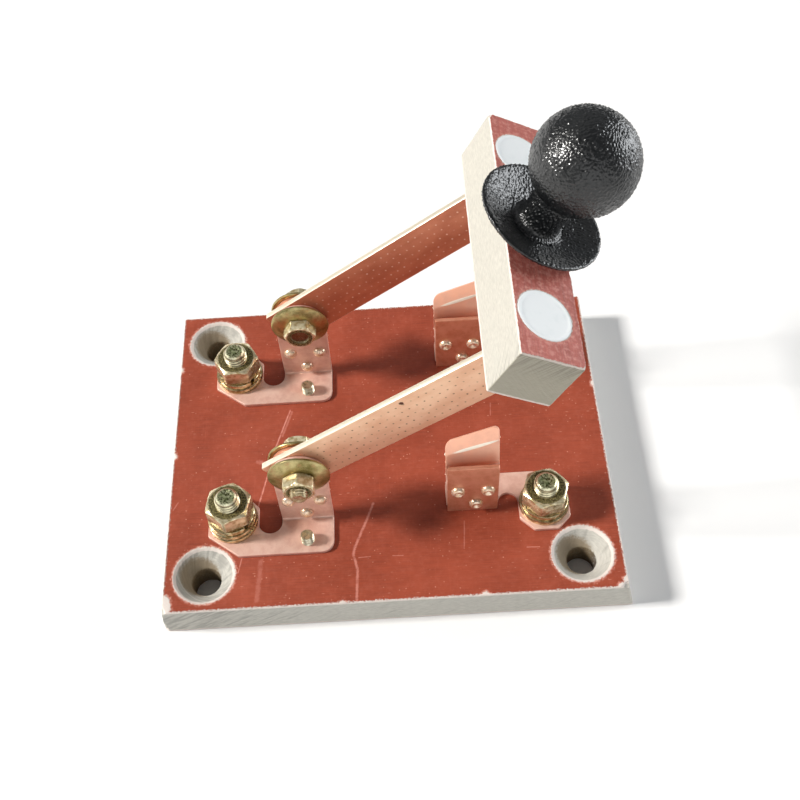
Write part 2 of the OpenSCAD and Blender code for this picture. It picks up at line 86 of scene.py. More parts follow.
MM = 0.001
TINY = 1e-9
BOARD_TOP = 10.0
STRIP_T = 1.0  # thickness of the copper strips
STRAIGHT = 0.05  # sine of a turn below which two edges count as one
LINE_LENGTH = 60.0  # longer than any bent strip
LINE_STEPS = 12001
FOLD_LENGTH = 12.0  # longer than any folded lip
FOLD_STEPS = 8001
HASH_WAY = np.array([127.1, 311.7, 74.7])  # any large uneven numbers do
HASH_SALT = 19.19
HASH_SIZE = 43758.5453
LOG = logging.getLogger("knife_switch")


class Named(Enum):
    """Choice whose members the frame's nodes spell in small letters."""

    @property
    def label(self) -> str:
        """Name of the member as the frame's nodes spell it."""
        return self.name.lower()


class Pole(Named):
    """The switch's two poles, with the sign of their place along Y."""

    FRONT = -1
    BACK = 1


class End(Named):
    """The two ends of a pole, with the sign of their place along X."""

    HINGE = -1
    CLIP = 1


# ---- numbers ----


def scatter(cell: Array, salt: float) -> Array:
    """Even random numbers for lattice cells: the fraction of a large multiple of a sine.

    Args:
        cell: Whole-number lattice places, shape (..., 3).
        salt: Number that picks one of many independent sets.

    Returns:
        Numbers from 0 to 1, shape (...).
    """
    wave = np.sin(cell @ HASH_WAY + HASH_SALT * salt) * HASH_SIZE
    return wave - np.floor(wave)


def lumps(points: Array, size: float, salt: float = 0.0) -> Array:
    """Smooth noise: lattice numbers blended by three eased steps, one along each axis.

    Args:
        points: Places in millimetres, shape (..., 3).
        size: Width of one lattice cell.
        salt: Picks one of many patterns.

    Returns:
        Numbers from -1 to 1, shape (...).
    """
    place = points / size
    cell = np.floor(place)
    t = place - cell
    t = t * t * (3 - 2 * t)
    total = np.zeros(points.shape[:-1])
    for corner in np.ndindex(2, 2, 2):
        step = np.array(corner)
        weight = np.prod(np.where(step == 1, t, 1 - t), axis=-1)
        total += weight * scatter(cell + step, salt)
    return 2 * total - 1


def pebbles(points: Array, size: float) -> Array:
    """Cell noise: how much nearer the closest scattered seed is than the second closest.

    Args:
        points: Places in millimetres, shape (..., 3).
        size: Mean width of one pebble.

    Returns:
        0 on the creases between pebbles, rising to about 1 on their tops.
    """
    place = points / size
    cell = np.floor(place)
    first = np.full(points.shape[:-1], 9.0)
    second = first.copy()
    for near in np.ndindex(3, 3, 3):
        home = cell + np.array(near) - 1
        seed = home + np.stack([scatter(home, 1 + axis) for axis in range(3)], -1)
        gap = np.linalg.norm(place - seed, axis=-1)
        second = np.minimum(second, np.maximum(first, gap))
        first = np.minimum(first, gap)
    full_rise = 0.55
    return np.clip((second - first) / full_rise, 0, 1)


def rounded(corners: list | Array, cut: float | list | Array, steps: int = 4) -> Array:
    """Closed outline with each corner replaced by a curve: (1-s)^2 A + 2s(1-s) P + s^2 B.

    Args:
        corners: Corner points P in order.
        cut: Length cut from both sides of a corner, one number or one for each.
        steps: Pieces in each curve.

    Returns:
        Points along the outline, without repeats.
    """
    p = np.asarray(corners, float)
    c = np.broadcast_to(np.asarray(cut, float), len(p))[:, None]
    back, ahead = np.roll(p, 1, 0) - p, np.roll(p, -1, 0) - p
    a = p + c * back / np.linalg.norm(back, axis=1, keepdims=True)
    b = p + c * ahead / np.linalg.norm(ahead, axis=1, keepdims=True)
    s = np.linspace(0, 1, steps + 1)[None, :, None]
    line = (1 - s) ** 2 * a[:, None] + 2 * s * (1 - s) * p[:, None] + s**2 * b[:, None]
    line = line.reshape(-1, p.shape[1])
    apart = np.linalg.norm(line - np.roll(line, 1, 0), axis=1) > 1e-5
    return line[apart]


def pulled_in(outline: Array, weight: Array) -> Array:
    """Step that moves each point of an outline inwards: where its two shifted edges meet.

    Args:
        outline: Closed outline in counter-clockwise order, shape (n, 2).
        weight: How far the edge after each point moves, shape (n,).

    Returns:
        The steps, shape (n, 2).
    """
    edge = np.roll(outline, -1, 0) - outline
    edge /= np.linalg.norm(edge, axis=1, keepdims=True)
    ahead = np.stack([-edge[:, 1], edge[:, 0]], 1)
    back, w_back = np.roll(ahead, 1, 0), np.roll(weight, 1)
    cross = back[:, 0] * ahead[:, 1] - back[:, 1] * ahead[:, 0]
    sharp = np.abs(cross) > STRAIGHT
    safe = np.where(sharp, cross, 1.0)
    meet = np.stack(
        [
            (w_back * ahead[:, 1] - weight * back[:, 1]) / safe,
            (weight * back[:, 0] - w_back * ahead[:, 0]) / safe,
        ],
        1,
    )
    mean = (back + ahead) * ((w_back + weight) / 4)[:, None]
    return np.where(sharp[:, None], meet, mean)


def evenly(line: Array, count: int, endpoint: bool = True) -> Array:
    """Points at even lengths along a line, found from its running length.

    Args:
        line: Points of the line, shape (n, 2).
        count: Number of points to find.
        endpoint: Whether the last of them is the line's end.

    Returns:
        The points, shape (count, 2).
    """
    run = np.concatenate([[0], np.cumsum(np.linalg.norm(np.diff(line, axis=0), axis=1))])
    even = np.linspace(0, run[-1], count, endpoint=endpoint)
    return np.stack([np.interp(even, run, line[:, i]) for i in (0, 1)], 1)


# ---- places ----


@dataclass(frozen=True)
class Place:
    """A piece's own frame: its origin, and its three axes as rows, in millimetres."""

    origin: Array
    axes: Array = field(default_factory=lambda: np.eye(3))

    def put(self, points: Array) -> Array:
        """Carries points from this frame to the switch's frame."""
        return points @ self.axes + self.origin

    def inside(self, origin: list | Array, axes: Array | None = None) -> "Place":
        """A frame given in this frame.

        Args:
            origin: Its origin.
            axes: Its axes as rows, or None to keep this frame's.

        Returns:
            The same frame, given in the switch's frame.
        """
        turned = self.axes if axes is None else axes @ self.axes
        return Place(self.put(np.asarray(origin, float)), turned)


def turned(axis: int, degrees: float) -> Array:
    """Axes turned about one axis by the right-hand rule, as rows."""
    a = math.radians(degrees)
    rows = np.eye(3)
    i, j = (axis + 1) % 3, (axis + 2) % 3
    rows[i, i] = rows[j, j] = math.cos(a)
    rows[i, j], rows[j, i] = math.sin(a), -math.sin(a)
    return rows


# ---- shells ----


class Shell:
    """Points and faces of one piece, gathered surface by surface."""

    def __init__(self) -> None:
        """Starts with nothing in it."""
        self.points: list[Array] = []
        self.faces: list[list[int]] = []
        self.count = 0

    def add(self, points: Array) -> Array:
        """Adds points and returns their numbers in the same layout."""
        index = self.count + np.arange(points[..., 0].size)
        self.points.append(points.reshape(-1, 3))
        self.count += index.size
        return index.reshape(points.shape[:-1])

    def skin(self, index: Array, rows: bool = False, columns: bool = True) -> Array:
        """Covers a grid of points with four-sided faces.

        Args:
            index: Numbers of the points.
            rows: Whether the last row joins the first.
            columns: Whether the last column joins the first.

        Returns:
            The same numbers.
        """
        g = np.concatenate([index, index[:1]]) if rows else index
        g = np.concatenate([g, g[:, :1]], 1) if columns else g
        quads = np.stack([g[:-1, :-1], g[1:, :-1], g[1:, 1:], g[:-1, 1:]], -1)
        self.faces += quads.reshape(-1, 4).tolist()
        return index

    def surface(self, points: Array, rows: bool = False, columns: bool = True) -> Array:
        """Adds a grid of points and covers it."""
        return self.skin(self.add(points), rows, columns)

    def cap(self, ring: Array) -> None:
        """Closes a ring with one flat face."""
        self.faces.append(ring.tolist())

    def barrel(self, points: Array) -> "Shell":
        """Adds a grid that closes round its columns, with a flat face at both ends."""
        index = self.surface(points)
        self.cap(index[0])
        self.cap(index[-1])
        return self

    def hoop(self, points: Array) -> "Shell":
        """Adds a grid that closes along its rows and round its columns."""
        self.surface(points, rows=True)
        return self

    def flat(self, plane: Array, loops: list[Array]) -> None:
        """Fills a flat region between loops of points with triangles.

        Args:
            plane: Two coordinates of every point added so far.
            loops: Numbers along each loop, the outer one first.
        """
        ids = np.concatenate(loops)
        xy = plane[ids]
        starts = np.cumsum([0] + [len(loop) for loop in loops])
        edges = []
        for low, high in zip(starts[:-1], starts[1:]):
            run = np.arange(low, high)
            edges += np.stack([run, np.roll(run, -1)], 1).tolist()
        made = delaunay_2d_cdt([Vector(p) for p in xy], edges, [], 0, 1e-7)
        corners = np.array([made[3][i][0] for i in range(len(made[0]))])
        triangles = corners[np.array(made[2])]
        middle = xy[triangles].mean(1)
        kept = inside(middle, xy[starts[0] : starts[1]])
        for low, high in zip(starts[1:-1], starts[2:]):
            kept &= ~inside(middle, xy[low:high])
        self.faces += ids[triangles[kept]].tolist()

    def all_points(self) -> Array:
        """Every point added so far, shape (n, 3)."""
        return np.concatenate(self.points)


def inside(points: Array, outline: Array) -> Array:
    """Whether points lie inside an outline: an odd number of edges crosses their ray.

    Args:
        points: Points to test, shape (n, 2).
        outline: Closed outline, shape (m, 2).

    Returns:
        True or False for each point.
    """
    x, y = points[:, :1], points[:, 1:]
    a, b = outline, np.roll(outline, -1, 0)
    spans = (a[:, 1] > y) != (b[:, 1] > y)
    rise = np.where(b[:, 1] == a[:, 1], 1.0, b[:, 1] - a[:, 1])
    cross = a[:, 0] + (y - a[:, 1]) * (b[:, 0] - a[:, 0]) / rise
    return (spans & (x < cross)).sum(1) % 2 == 1


def lathe(profile: Sequence[Point] | Array, turns: int = 64) -> Array:
    """Round surface: the point (r, z) of the profile turns to (r cos a, r sin a, z).

    Args:
        profile: Radius and height pairs.
        turns: Steps round the axis.

    Returns:
        Grid of points, one row for each pair.
    """
    p = np.asarray(profile, float)[:, None]
    a = np.linspace(0, 2 * np.pi, turns, endpoint=False)
    return np.stack([p[..., 0] * np.cos(a), p[..., 0] * np.sin(a), p[..., 1] + 0 * a], -1)


def plate(
    outline: Array, low: float, high: float, bevel: float, weight: Array | None = None
) -> Array:
    """Flat plate: its outline carried up, pulled in along a quarter round at both faces.

    Args:
        outline: Closed counter-clockwise outline, shape (n, 2).
        low: Height of the lower face.
        high: Height of the upper face.
        bevel: Radius of the quarter rounds.
        weight: 1 for edges that are rounded and 0 for others, one after each point.

    Returns:
        Grid of points with x, y from the outline and z as height.
    """
    pull = pulled_in(outline, np.ones(len(outline)) if weight is None else weight)
    a = np.linspace(0, np.pi / 2, 4)
    inset = bevel * (1 - np.sin(a))
    lift = bevel * (1 - np.cos(a))
    inset = np.concatenate([inset, inset[::-1]])[:, None, None]
    z = np.concatenate([low + lift, high - lift[::-1]])[:, None, None]
    xy = outline + inset * pull
    return np.concatenate([xy, np.broadcast_to(z, xy.shape[:2] + (1,))], -1)


def quarter_drop(distance: Array, radius: float) -> Array:
    """How far a quarter round lies below a face, at a distance from the face's edge."""
    x = np.clip(radius - distance, 0, radius)
    return radius - np.sqrt(radius**2 - x**2)


def upright(flat: Array) -> Array:
    """A flat plate's grid stood on its edge: (x, y, z) goes to (x, -z, y)."""
    return flat[..., [0, 2, 1]] * [1, -1, 1]


@dataclass(frozen=True)
class BentLine:
    """Line in y and z that turns evenly over short arcs."""

    start: Point  # its first point
    heading: float  # its first direction, in degrees from +y towards +z
    bends: tuple[Triple, ...]  # where each arc begins along the line, its length, and its angle

    def at(self, s: Array) -> tuple[Array, Array]:
        """Sums the cosine and the sine of the heading along the line.

        Args:
            s: Lengths along the line.

        Returns:
            Their y and z.
        """
        t = np.linspace(0, LINE_LENGTH, LINE_STEPS)
        angle = np.full_like(t, self.heading)
        for begin, length, turn in self.bends:
            angle += turn * np.clip((t - begin) / length, 0, 1)
        a = np.radians(angle[:-1])
        y = self.start[0] + np.concatenate([[0], np.cumsum(np.cos(a))]) * t[1]
        z = self.start[1] + np.concatenate([[0], np.cumsum(np.sin(a))]) * t[1]
        return np.interp(s, t, y), np.interp(s, t, z)


@dataclass(frozen=True)
class SlopedFold:
    """Fold across an upright wall that leans what lies above it."""

    mid: float  # height of the fold at x = 0
    slope: float  # rise of the fold, in degrees from +x
    lean: float  # angle by which the part above the fold leans towards +y
    half: float = 0.16  # half the length of the bend's arc

    def height(self, x: Array) -> Array:
        """Height of the fold at each x."""
        return self.mid + x * math.tan(math.radians(self.slope))

    def bend(self, p: Array) -> Array:
        """Turns points about the fold: the way past it is summed along the leaning line.

        Args:
            p: Points of the wall, shape (..., 3).

        Returns:
            The bent points.
        """
        s = math.radians(self.slope)
        up = np.array([-math.sin(s), 0, math.cos(s)])
        d = (p[..., 2] - self.height(p[..., 0])) * math.cos(s)
        t = np.linspace(-self.half, FOLD_LENGTH, FOLD_STEPS)
        a = np.radians(self.lean) * np.clip((t + self.half) / (2 * self.half), 0, 1)
        gap = t[1] - t[0]
        along = -self.half + np.concatenate([[0], np.cumsum(np.cos(a[1:]))]) * gap
        out = np.concatenate([[0], np.cumsum(np.sin(a[1:]))]) * gap
        past = d > -self.half
        along = np.where(past, np.interp(d, t, along), d)
        out = np.where(past, np.interp(d, t, out), 0)
        return p + (along - d)[..., None] * up + out[..., None] * np.array([0, 1, 0])


@dataclass(frozen=True)
class BentPlate:
    """Plate whose middle surface runs along a bent line and across it."""

    line: BentLine  # line of the middle surface in y and z
    half: float  # half the plate's width along x
    reach: Callable[[Array], Array]  # length along the line to the plate's end at each x
    thick: float  # thickness
    fold: SlopedFold | None = None  # fold near the end, if it has one
    bevel: float = 0.16  # radius of its rounded edges
    step: float = 0.15  # distance between points along the line
    clear: float = 0.3  # length at both ends whose points follow the rounded edges

    def grid(self) -> Array:
        """Middle surface (x, y(s), z(s)), then both faces at half the thickness along its normal.

        Returns:
            Grid that closes round its columns: one face out, the other face back.
        """
        x = self.half * np.sin(np.linspace(-np.pi / 2, np.pi / 2, 37))
        nominal = float(self.reach(np.array([0.0]))[0])
        b = self.bevel
        edge = np.array([0, 0.13, 0.5, 1.0]) * b
        middle = np.linspace(self.clear, nominal - self.clear, int(nominal / self.step))
        s = np.concatenate([edge, middle, nominal - edge[::-1]])
        length = self.reach(x)[None, :] * (s / nominal)[:, None]
        y, z = self.line.at(length)
        mid = np.stack([np.broadcast_to(x, length.shape), y, z], -1)
        if self.fold:
            mid = self.fold.bend(mid)
        normal = np.cross(np.gradient(mid, axis=1), np.gradient(mid, axis=0))
        normal /= np.maximum(np.linalg.norm(normal, axis=-1, keepdims=True), TINY)
        drop = np.maximum(
            quarter_drop(self.half - np.abs(x), b)[None, :],
            quarter_drop(np.minimum(s, nominal - s), b)[:, None],
        )
        half_t = (self.thick / 2 - drop)[..., None]
        return np.concatenate([mid + normal * half_t, (mid - normal * half_t)[:, ::-1]], 1)

    def shell(self, place: Place, made: Shell) -> Shell:
        """Adds the grid to a shell and closes both of its ends with rows of four-sided faces.

        Args:
            place: Frame that the plate is given in.
            made: The shell.

        Returns:
            The same shell.
        """
        grid = self.grid()
        index = made.surface(place.put(grid))
        half = grid.shape[1] // 2
        for row in (index[0], index[-1]):
            made.skin(np.stack([row[:half], row[half:][::-1]]), columns=False)
        return made


# ---- node trees ----


def linear(colour: Colour) -> tuple[float, float, float, float]:
    """Screen colour from 0 to 255 as a linear colour: ((c + 0.055) / 1.055) to the power 2.4."""
    c = np.asarray(colour, float) / 255
    low = c / 12.92
    high = ((c + 0.055) / 1.055) ** 2.4
    return (*np.where(c <= 0.04045, low, high).tolist(), 1.0)


def shaded(colour: Colour, share: float) -> Colour:
    """The same colour at a share of its brightness."""
    return tuple(share * c for c in colour)


class Field:
    """A value over the surface, carried by a node's socket, that can be reckoned with."""

    def __init__(self, tree: "Tree", socket: Socket) -> None:
        """Keeps the tree and the socket."""
        self.tree = tree
        self.socket = socket

    def math(self, operation: str, *others: "Field | float") -> "Field":
        """Value of one Math node on this field and others."""
        node = self.tree.node("ShaderNodeMath", operation=operation)
        for slot, value in zip(node.inputs, (self, *others)):
            self.tree.feed(slot, value)
        return Field(self.tree, node.outputs[0])

    def __add__(self, other: "Field | float") -> "Field":
        """Sum."""
        return self.math("ADD", other)

    def __sub__(self, other: "Field | float") -> "Field":
        """Difference."""
        return self.math("SUBTRACT", other)

    def __mul__(self, other: "Field | float") -> "Field":
        """Product."""
        return self.math("MULTIPLY", other)

    def least(self, other: "Field | float") -> "Field":
        """Smaller of two."""
        return self.math("MINIMUM", other)

    def most(self, other: "Field | float") -> "Field":
        """Larger of two."""
        return self.math("MAXIMUM", other)

    def size(self) -> "Field":
        """Value without its sign."""
        return self.math("ABSOLUTE")

    def step(self, low: float, high: float) -> "Field":
        """Smooth step from 0 at low to 1 at high."""
        node = self.tree.node("ShaderNodeMapRange", interpolation_type="SMOOTHSTEP")
        falls = low > high
        values = (self, min(low, high), max(low, high), float(falls), float(not falls))
        for slot, value in zip(node.inputs, values):
            self.tree.feed(slot, value)
        return Field(self.tree, node.outputs[0])


class Tree:
    """One material's node tree, with short calls for what the finishes need."""

    def __init__(self, name: str, metallic: float, specular: float = 0.5) -> None:
        """Makes the material with its constants set on the shader.

        Args:
            name: Name of the material.
            metallic: Share of bare metal, from 0 to 1.
            specular: Level of its mirror-like part.
        """
        self.material = bpy.data.materials.new(name)
        self.material.use_nodes = True
        self.shader = self.material.node_tree.nodes["Principled BSDF"]
        self.shader.inputs["Metallic"].default_value = metallic
        self.shader.inputs["Specular IOR Level"].default_value = specular
        self.object_place = self.node("ShaderNodeTexCoord").outputs["Object"]

    def node(self, kind: str, **settings: object) -> bpy.types.Node:
        """Adds a node with its settings."""
        made = self.material.node_tree.nodes.new(kind)
        for key, value in settings.items():
            setattr(made, key, value)
        return made

    def feed(self, slot: Socket, value: object) -> None:
        """Links a field or socket into a slot, or sets the slot to a constant."""
        if isinstance(value, Field):
            value = value.socket
        if isinstance(value, Socket):
            self.material.node_tree.links.new(slot, value)
        else:
            slot.default_value = value

    def vector(self, operation: str, first: object, second: object) -> bpy.types.Node:
        """Vector Math node on two vectors."""
        node = self.node("ShaderNodeVectorMath", operation=operation)
        self.feed(node.inputs[0], first)
        self.feed(node.inputs[1], second)
        return node

    def number(self, operation: str, first: object, second: object) -> Field:
        """Value of a Vector Math node whose result is one number."""
        return Field(self, self.vector(operation, first, second).outputs["Value"])

    def local(self, place: Place) -> list[Field]:
        """Coordinates in a piece's own frame, in millimetres: its axes times the way from its origin.

        Args:
            place: The frame.

        Returns:
            Its x, y and z.
        """
        way = self.vector("SUBTRACT", self.object_place, tuple(place.origin * MM)).outputs[0]
        return [self.number("DOT_PRODUCT", way, tuple(row / MM)) for row in place.axes]

    def joined(self, x: Field | float, y: Field | float, z: Field | float) -> Socket:
        """One vector from three values."""
        node = self.node("ShaderNodeCombineXYZ")
        for slot, value in zip(node.inputs, (x, y, z)):
            self.feed(slot, value)
        return node.outputs[0]

    def noise(self, vector: Socket, scale: float, detail: float = 3.0) -> Field:
        """Cloudy noise about 0.5."""
        node = self.node("ShaderNodeTexNoise")
        for key, value in (("Vector", vector), ("Scale", scale), ("Detail", detail), ("Roughness", 0.6)):
            self.feed(node.inputs[key], value)
        return Field(self, node.outputs[0])

    def cells(self, vector: Socket, scale: float, feature: str = "F1") -> Field:
        """Distance to the nearest scattered point."""
        node = self.node("ShaderNodeTexVoronoi", feature=feature)
        self.feed(node.inputs["Vector"], vector)
        self.feed(node.inputs["Scale"], scale)
        return Field(self, node.outputs["Distance"])

    def mix(self, share: Field | float, low: object, high: object) -> Socket:
        """Colour that goes from low to high as share goes from 0 to 1."""
        node = self.node("ShaderNodeMix", data_type="RGBA")
        factor, first, second = node.inputs[0], node.inputs[6], node.inputs[7]
        for slot, value in ((factor, share), (first, low), (second, high)):
            self.feed(slot, linear(value) if isinstance(value, tuple) else value)
        return node.outputs[2]

    def stroke(self, x: Field, y: Field, points: list[Point]) -> Field:
        """Distance from a broken line: for each part, from the nearest point on it.

        Args:
            x: First coordinate.
            y: Second coordinate.
            points: The line's corners.

        Returns:
            Distance in the same units.
        """
        here = self.joined(x, y, 0.0)
        parts = []
        for a, b in zip(points[:-1], points[1:]):
            way = np.subtract(b, a)
            from_a = self.vector("SUBTRACT", here, (*a, 0.0)).outputs[0]
            share = self.number("DOT_PRODUCT", from_a, (*(way / (way @ way)), 0.0)).most(0.0).least(1.0)
            near = self.vector("MULTIPLY", self.joined(share, share, 0.0), (*way, 0.0)).outputs[0]
            parts.append(self.number("DISTANCE", from_a, near))
        return reduce(Field.least, parts)

    def gap(self, x: Field, y: Field, spots: tuple[Spot, ...]) -> Field:
        """Distance to the nearest of some round spots: from its middle, less its radius.

        Args:
            x: First coordinate.
            y: Second coordinate.
            spots: Middles and radii.

        Returns:
            Distance in the same units, below zero inside a spot.
        """
        here = self.joined(x, y, 0.0)
        parts = [self.number("DISTANCE", here, (mx, my, 0.0)) - radius for mx, my, radius in spots]
        return reduce(Field.least, parts)

    def bump(self, height: Field, depth: float) -> None:
        """Bumps the surface by a height field times depth in metres."""
        node = self.node("ShaderNodeBump")
        self.feed(node.inputs["Distance"], depth)
        self.feed(node.inputs["Height"], height)
        for name in ("Normal", "Coat Normal"):
            self.feed(self.shader.inputs[name], node.outputs[0])

    def finish(self, colour: object, roughness: Field | float) -> bpy.types.Material:
        """Sets the base colour and the roughness, and returns the material."""
        self.feed(self.shader.inputs["Base Color"], colour)
        self.feed(self.shader.inputs["Roughness"], roughness)
        return self.material


# ---- finishes ----


class Grain:
    """Coordinates and noises that the layers of a laminate share."""

    def __init__(self, laminate: "Laminate") -> None:
        """Works them out in the laminate's own frame.

        Args:
            laminate: The finish that they are for.
        """
        self.tree = t = Tree(laminate.name, 0.0, 0.32)
        self.x, self.y, self.z = x, y, z = t.local(laminate.place)
        self.here = t.joined(x, y, z)
        self.ragged = t.noise(self.here, 2.2, 5) - 0.5
        self.blot = t.noise(self.here, 0.9, 5)
        self.streaks = t.noise(t.joined(x * 0.16, y * 5.0, z), 1.0, 5)
        along = x + y
        self.fibre = t.noise(t.joined(along * 0.5, (x - y) * 0.5, z * 4.0), 1.0, 5)
        marks = t.noise(t.joined(z * 1.2 - along * 0.85, (along + z) * 0.08, 0.0), 1.0, 3)
        self.marks = marks * (x.step(-12.0, -46.0) * (1.0 - laminate.sawn) + laminate.sawn)


@dataclass(frozen=True)
class Laminate:
    """Red-faced pressed laminate with a pale sawn core."""

    name: str  # name of the material
    place: Place  # frame of the block, with its origin in the block's middle
    half: Triple  # half its sizes, the faced sides last
    red: Colour  # colour of the faced sides
    core: Colour  # colour of the sawn sides
    bores: tuple[Spot, ...] = ()  # holes whose walls show the core
    bare: tuple[Spot, ...] = ()  # spots where the skin has come off
    bore: float = 0.0  # radius of the bores' deep part, painted dark as shade, or 0 where they have none
    # broken lines with their half width and strength
    scratches: tuple[tuple[float, float, list[Point]], ...] = ()
    end: Colour | None = None  # darker tone of the sawn ends, if they have one
    bloom: Colour = (196, 112, 92)  # colour of blotches on the faced sides
    mottle: float = 0.3  # how strong the blotches are
    frayed: float = 0.12  # width of the frayed line along their edges
    sawn: float = 0.76  # how strong the saw's marks are away from the left end
    fringe: float = 0.75  # how strongly the skin pales along its torn edges
    stain: Colour = (188, 186, 176)  # colour of smudges on the sawn sides
    speck: Colour = (226, 160, 136)  # colour of specks on the faced sides
    scuffed: Colour = (224, 150, 134)  # colour of the scratches
    torn: Colour = (232, 168, 150)  # colour of the skin's torn edges
    lip: Colour = (240, 226, 218)  # colour of the core next to the skin
    grime: Colour = (58, 44, 32)  # painted shade deep in the bores
    dust: Colour = (132, 114, 86)  # dust with painted shade on their countersinks' shaded side

    def make(self) -> bpy.types.Material:
        """Skin where a point is near a faced side and clear of edges and bores, core elsewhere."""
        g = Grain(self)
        t = g.tree
        underside = g.z.step(0.5, -0.5) * 50.0
        hole = t.gap(g.x, g.y, self.bores + self.bare) + underside
        skin, worn = self.skin(g, hole), self.worn(g)
        core = self.sides(g)
        if self.bore:
            core = self.dirty(g, core)
        height = g.streaks * 0.3 * skin + (g.fibre + g.marks * 2.2) * (skin * -1.0 + 1.0)
        if worn is not None:
            height = height - worn * 0.6
        t.bump(height, 0.06 * MM)
        return t.finish(t.mix(skin, core, self.face(g, hole, worn)), skin * -0.35 + 0.8 + g.blot * 0.1)

    def skin(self, g: Grain, hole: Field) -> Field:
        """Product of two steps: from the sides' torn edges and holes, and from the faces.

        Args:
            g: Shared coordinates and noises.
            hole: Distance to the nearest hole.

        Returns:
            1 where the skin is whole.
        """
        hx, hy, hz = self.half
        edge = (g.x.size() * -1.0 + hx).least(g.y.size() * -1.0 + hy).least(hole)
        clear = (edge + g.ragged * (4 * self.frayed + 0.5)).step(self.frayed * 0.5, self.frayed * 1.5)
        return clear * (g.z.size() + g.ragged * 0.05).step(hz - 0.12, hz - 0.06)

    def worn(self, g: Grain) -> Field | None:
        """Strength of the scratches: each fades out at its half width and has gaps.

        Args:
            g: Shared coordinates and noises.

        Returns:
            The largest of their strengths, or None without scratches.
        """
        lines = []
        for half_width, strength, points in self.scratches:
            away = g.tree.stroke(g.x, g.y, points) + g.ragged * (1.2 * half_width)
            lines.append(away.step(half_width, 0.25 * half_width) * strength * g.blot.step(0.2, 0.55))
        return reduce(Field.most, lines) if lines else None

    def face(self, g: Grain, hole: Field, worn: Field | None) -> Socket:
        """Streaked and clouded red with blotches, specks, torn fringes and scratches.

        Args:
            g: Shared coordinates and noises.
            hole: Distance to the nearest hole.
            worn: Strength of the scratches, if there are any.

        Returns:
            The faced sides' colour.
        """
        t = g.tree
        lighter = tuple(min(255.0, 1.1 * c + 12) for c in self.red)
        rolled = t.noise(t.joined(g.x * 2.6, g.y * 0.06, g.z), 1.0, 3)
        red = t.mix(g.streaks.step(0.3, 0.7), shaded(self.red, 0.86), self.red)
        red = t.mix(t.noise(g.here, 0.07, 4).step(0.35, 0.75) * 0.4, red, lighter)
        red = t.mix(rolled.step(0.56, 0.8) * 0.35, red, lighter)
        red = t.mix(g.blot.step(0.42, 0.72) * self.mottle, red, self.bloom)
        specks = t.cells(g.here, 0.75).step(0.15, 0.05) * t.noise(g.here, 0.4, 2).step(0.42, 0.6)
        dashes = t.cells(t.joined(g.x * 0.3, g.y * 1.5, g.z), 0.6).step(0.11, 0.03)
        dashes = dashes * t.noise(g.here, 0.25, 3).step(0.42, 0.6)
        red = t.mix(specks.most(dashes * 0.7) * 0.7, red, self.speck)
        fringe = (hole + (t.noise(g.here, 1.4, 4) - 0.5) * 2.6).step(0.9, 0.1)
        red = t.mix(fringe * self.fringe, red, self.torn)
        return red if worn is None else t.mix(worn, red, self.scuffed)

    def sides(self, g: Grain) -> Socket:
        """Pale core with fibres, saw marks and smudges, toned ends and a pale line by the skin.

        Args:
            g: Shared coordinates and noises.

        Returns:
            The core's colour.
        """
        t, (hx, _, hz) = g.tree, self.half
        fibres = g.fibre.step(0.3, 0.7)
        core = t.mix(fibres * 0.6, self.core, shaded(self.core, 0.84))
        core = t.mix(g.marks.step(0.42, 0.58) * 0.55, core, shaded(self.core, 0.7))
        core = t.mix(t.noise(g.here, 0.25, 4).step(0.5, 0.8) * 0.4, core, self.stain)
        if self.end:
            lines = t.noise(t.joined(g.z * 1.2 + g.y * 2.4, g.z * 0.1, 0.0), 1.0, 2).step(0.42, 0.62)
            lines = lines * g.z.step(-hz * 0.2, hz * 0.9)
            tone = t.mix(lines * 0.7, self.end, shaded(self.end, 0.74))
            tone = t.mix(fibres * 0.3, tone, shaded(self.end, 0.86))
            core = t.mix(g.x.size().step(hx - 0.25, hx - 0.12), core, tone)
        lip = (g.z.size().step(hz - 0.9, hz - 0.3) + t.noise(g.here, 1.2, 4) - 0.75).step(0.1, 0.5)
        return t.mix(lip * 0.7, core, self.lip)

    def dirty(self, g: Grain, core: Socket) -> Socket:
        """Paints shade deep in the bores, and dust with painted shade on one side of their cones.

        Args:
            g: Shared coordinates and noises.
            core: Colour before.

        Returns:
            Colour after.
        """
        t, deep_z = g.tree, self.half[2] - 2.6
        middle = t.gap(g.x, g.y, tuple((x, y, 0.0) for x, y, _ in self.bores))
        deep = (middle + g.ragged * 0.5).step(self.bore + 0.15, self.bore - 0.05)
        # painted shade: the bores' depths darkened where little light reaches
        core = t.mix(deep * (g.z - deep_z).step(0.0, -1.2), core, self.grime)
        # dust and painted shade on the side of each countersink that faces away from the light
        shade = t.gap(g.x, g.y, tuple((x - 1.5, y + 0.9, 0.0) for x, y, _ in self.bores))
        cone = (shade + g.ragged * 1.6).step(self.bore + 1.7, self.bore + 0.5)
        return t.mix(cone * 0.8, core, self.dust)


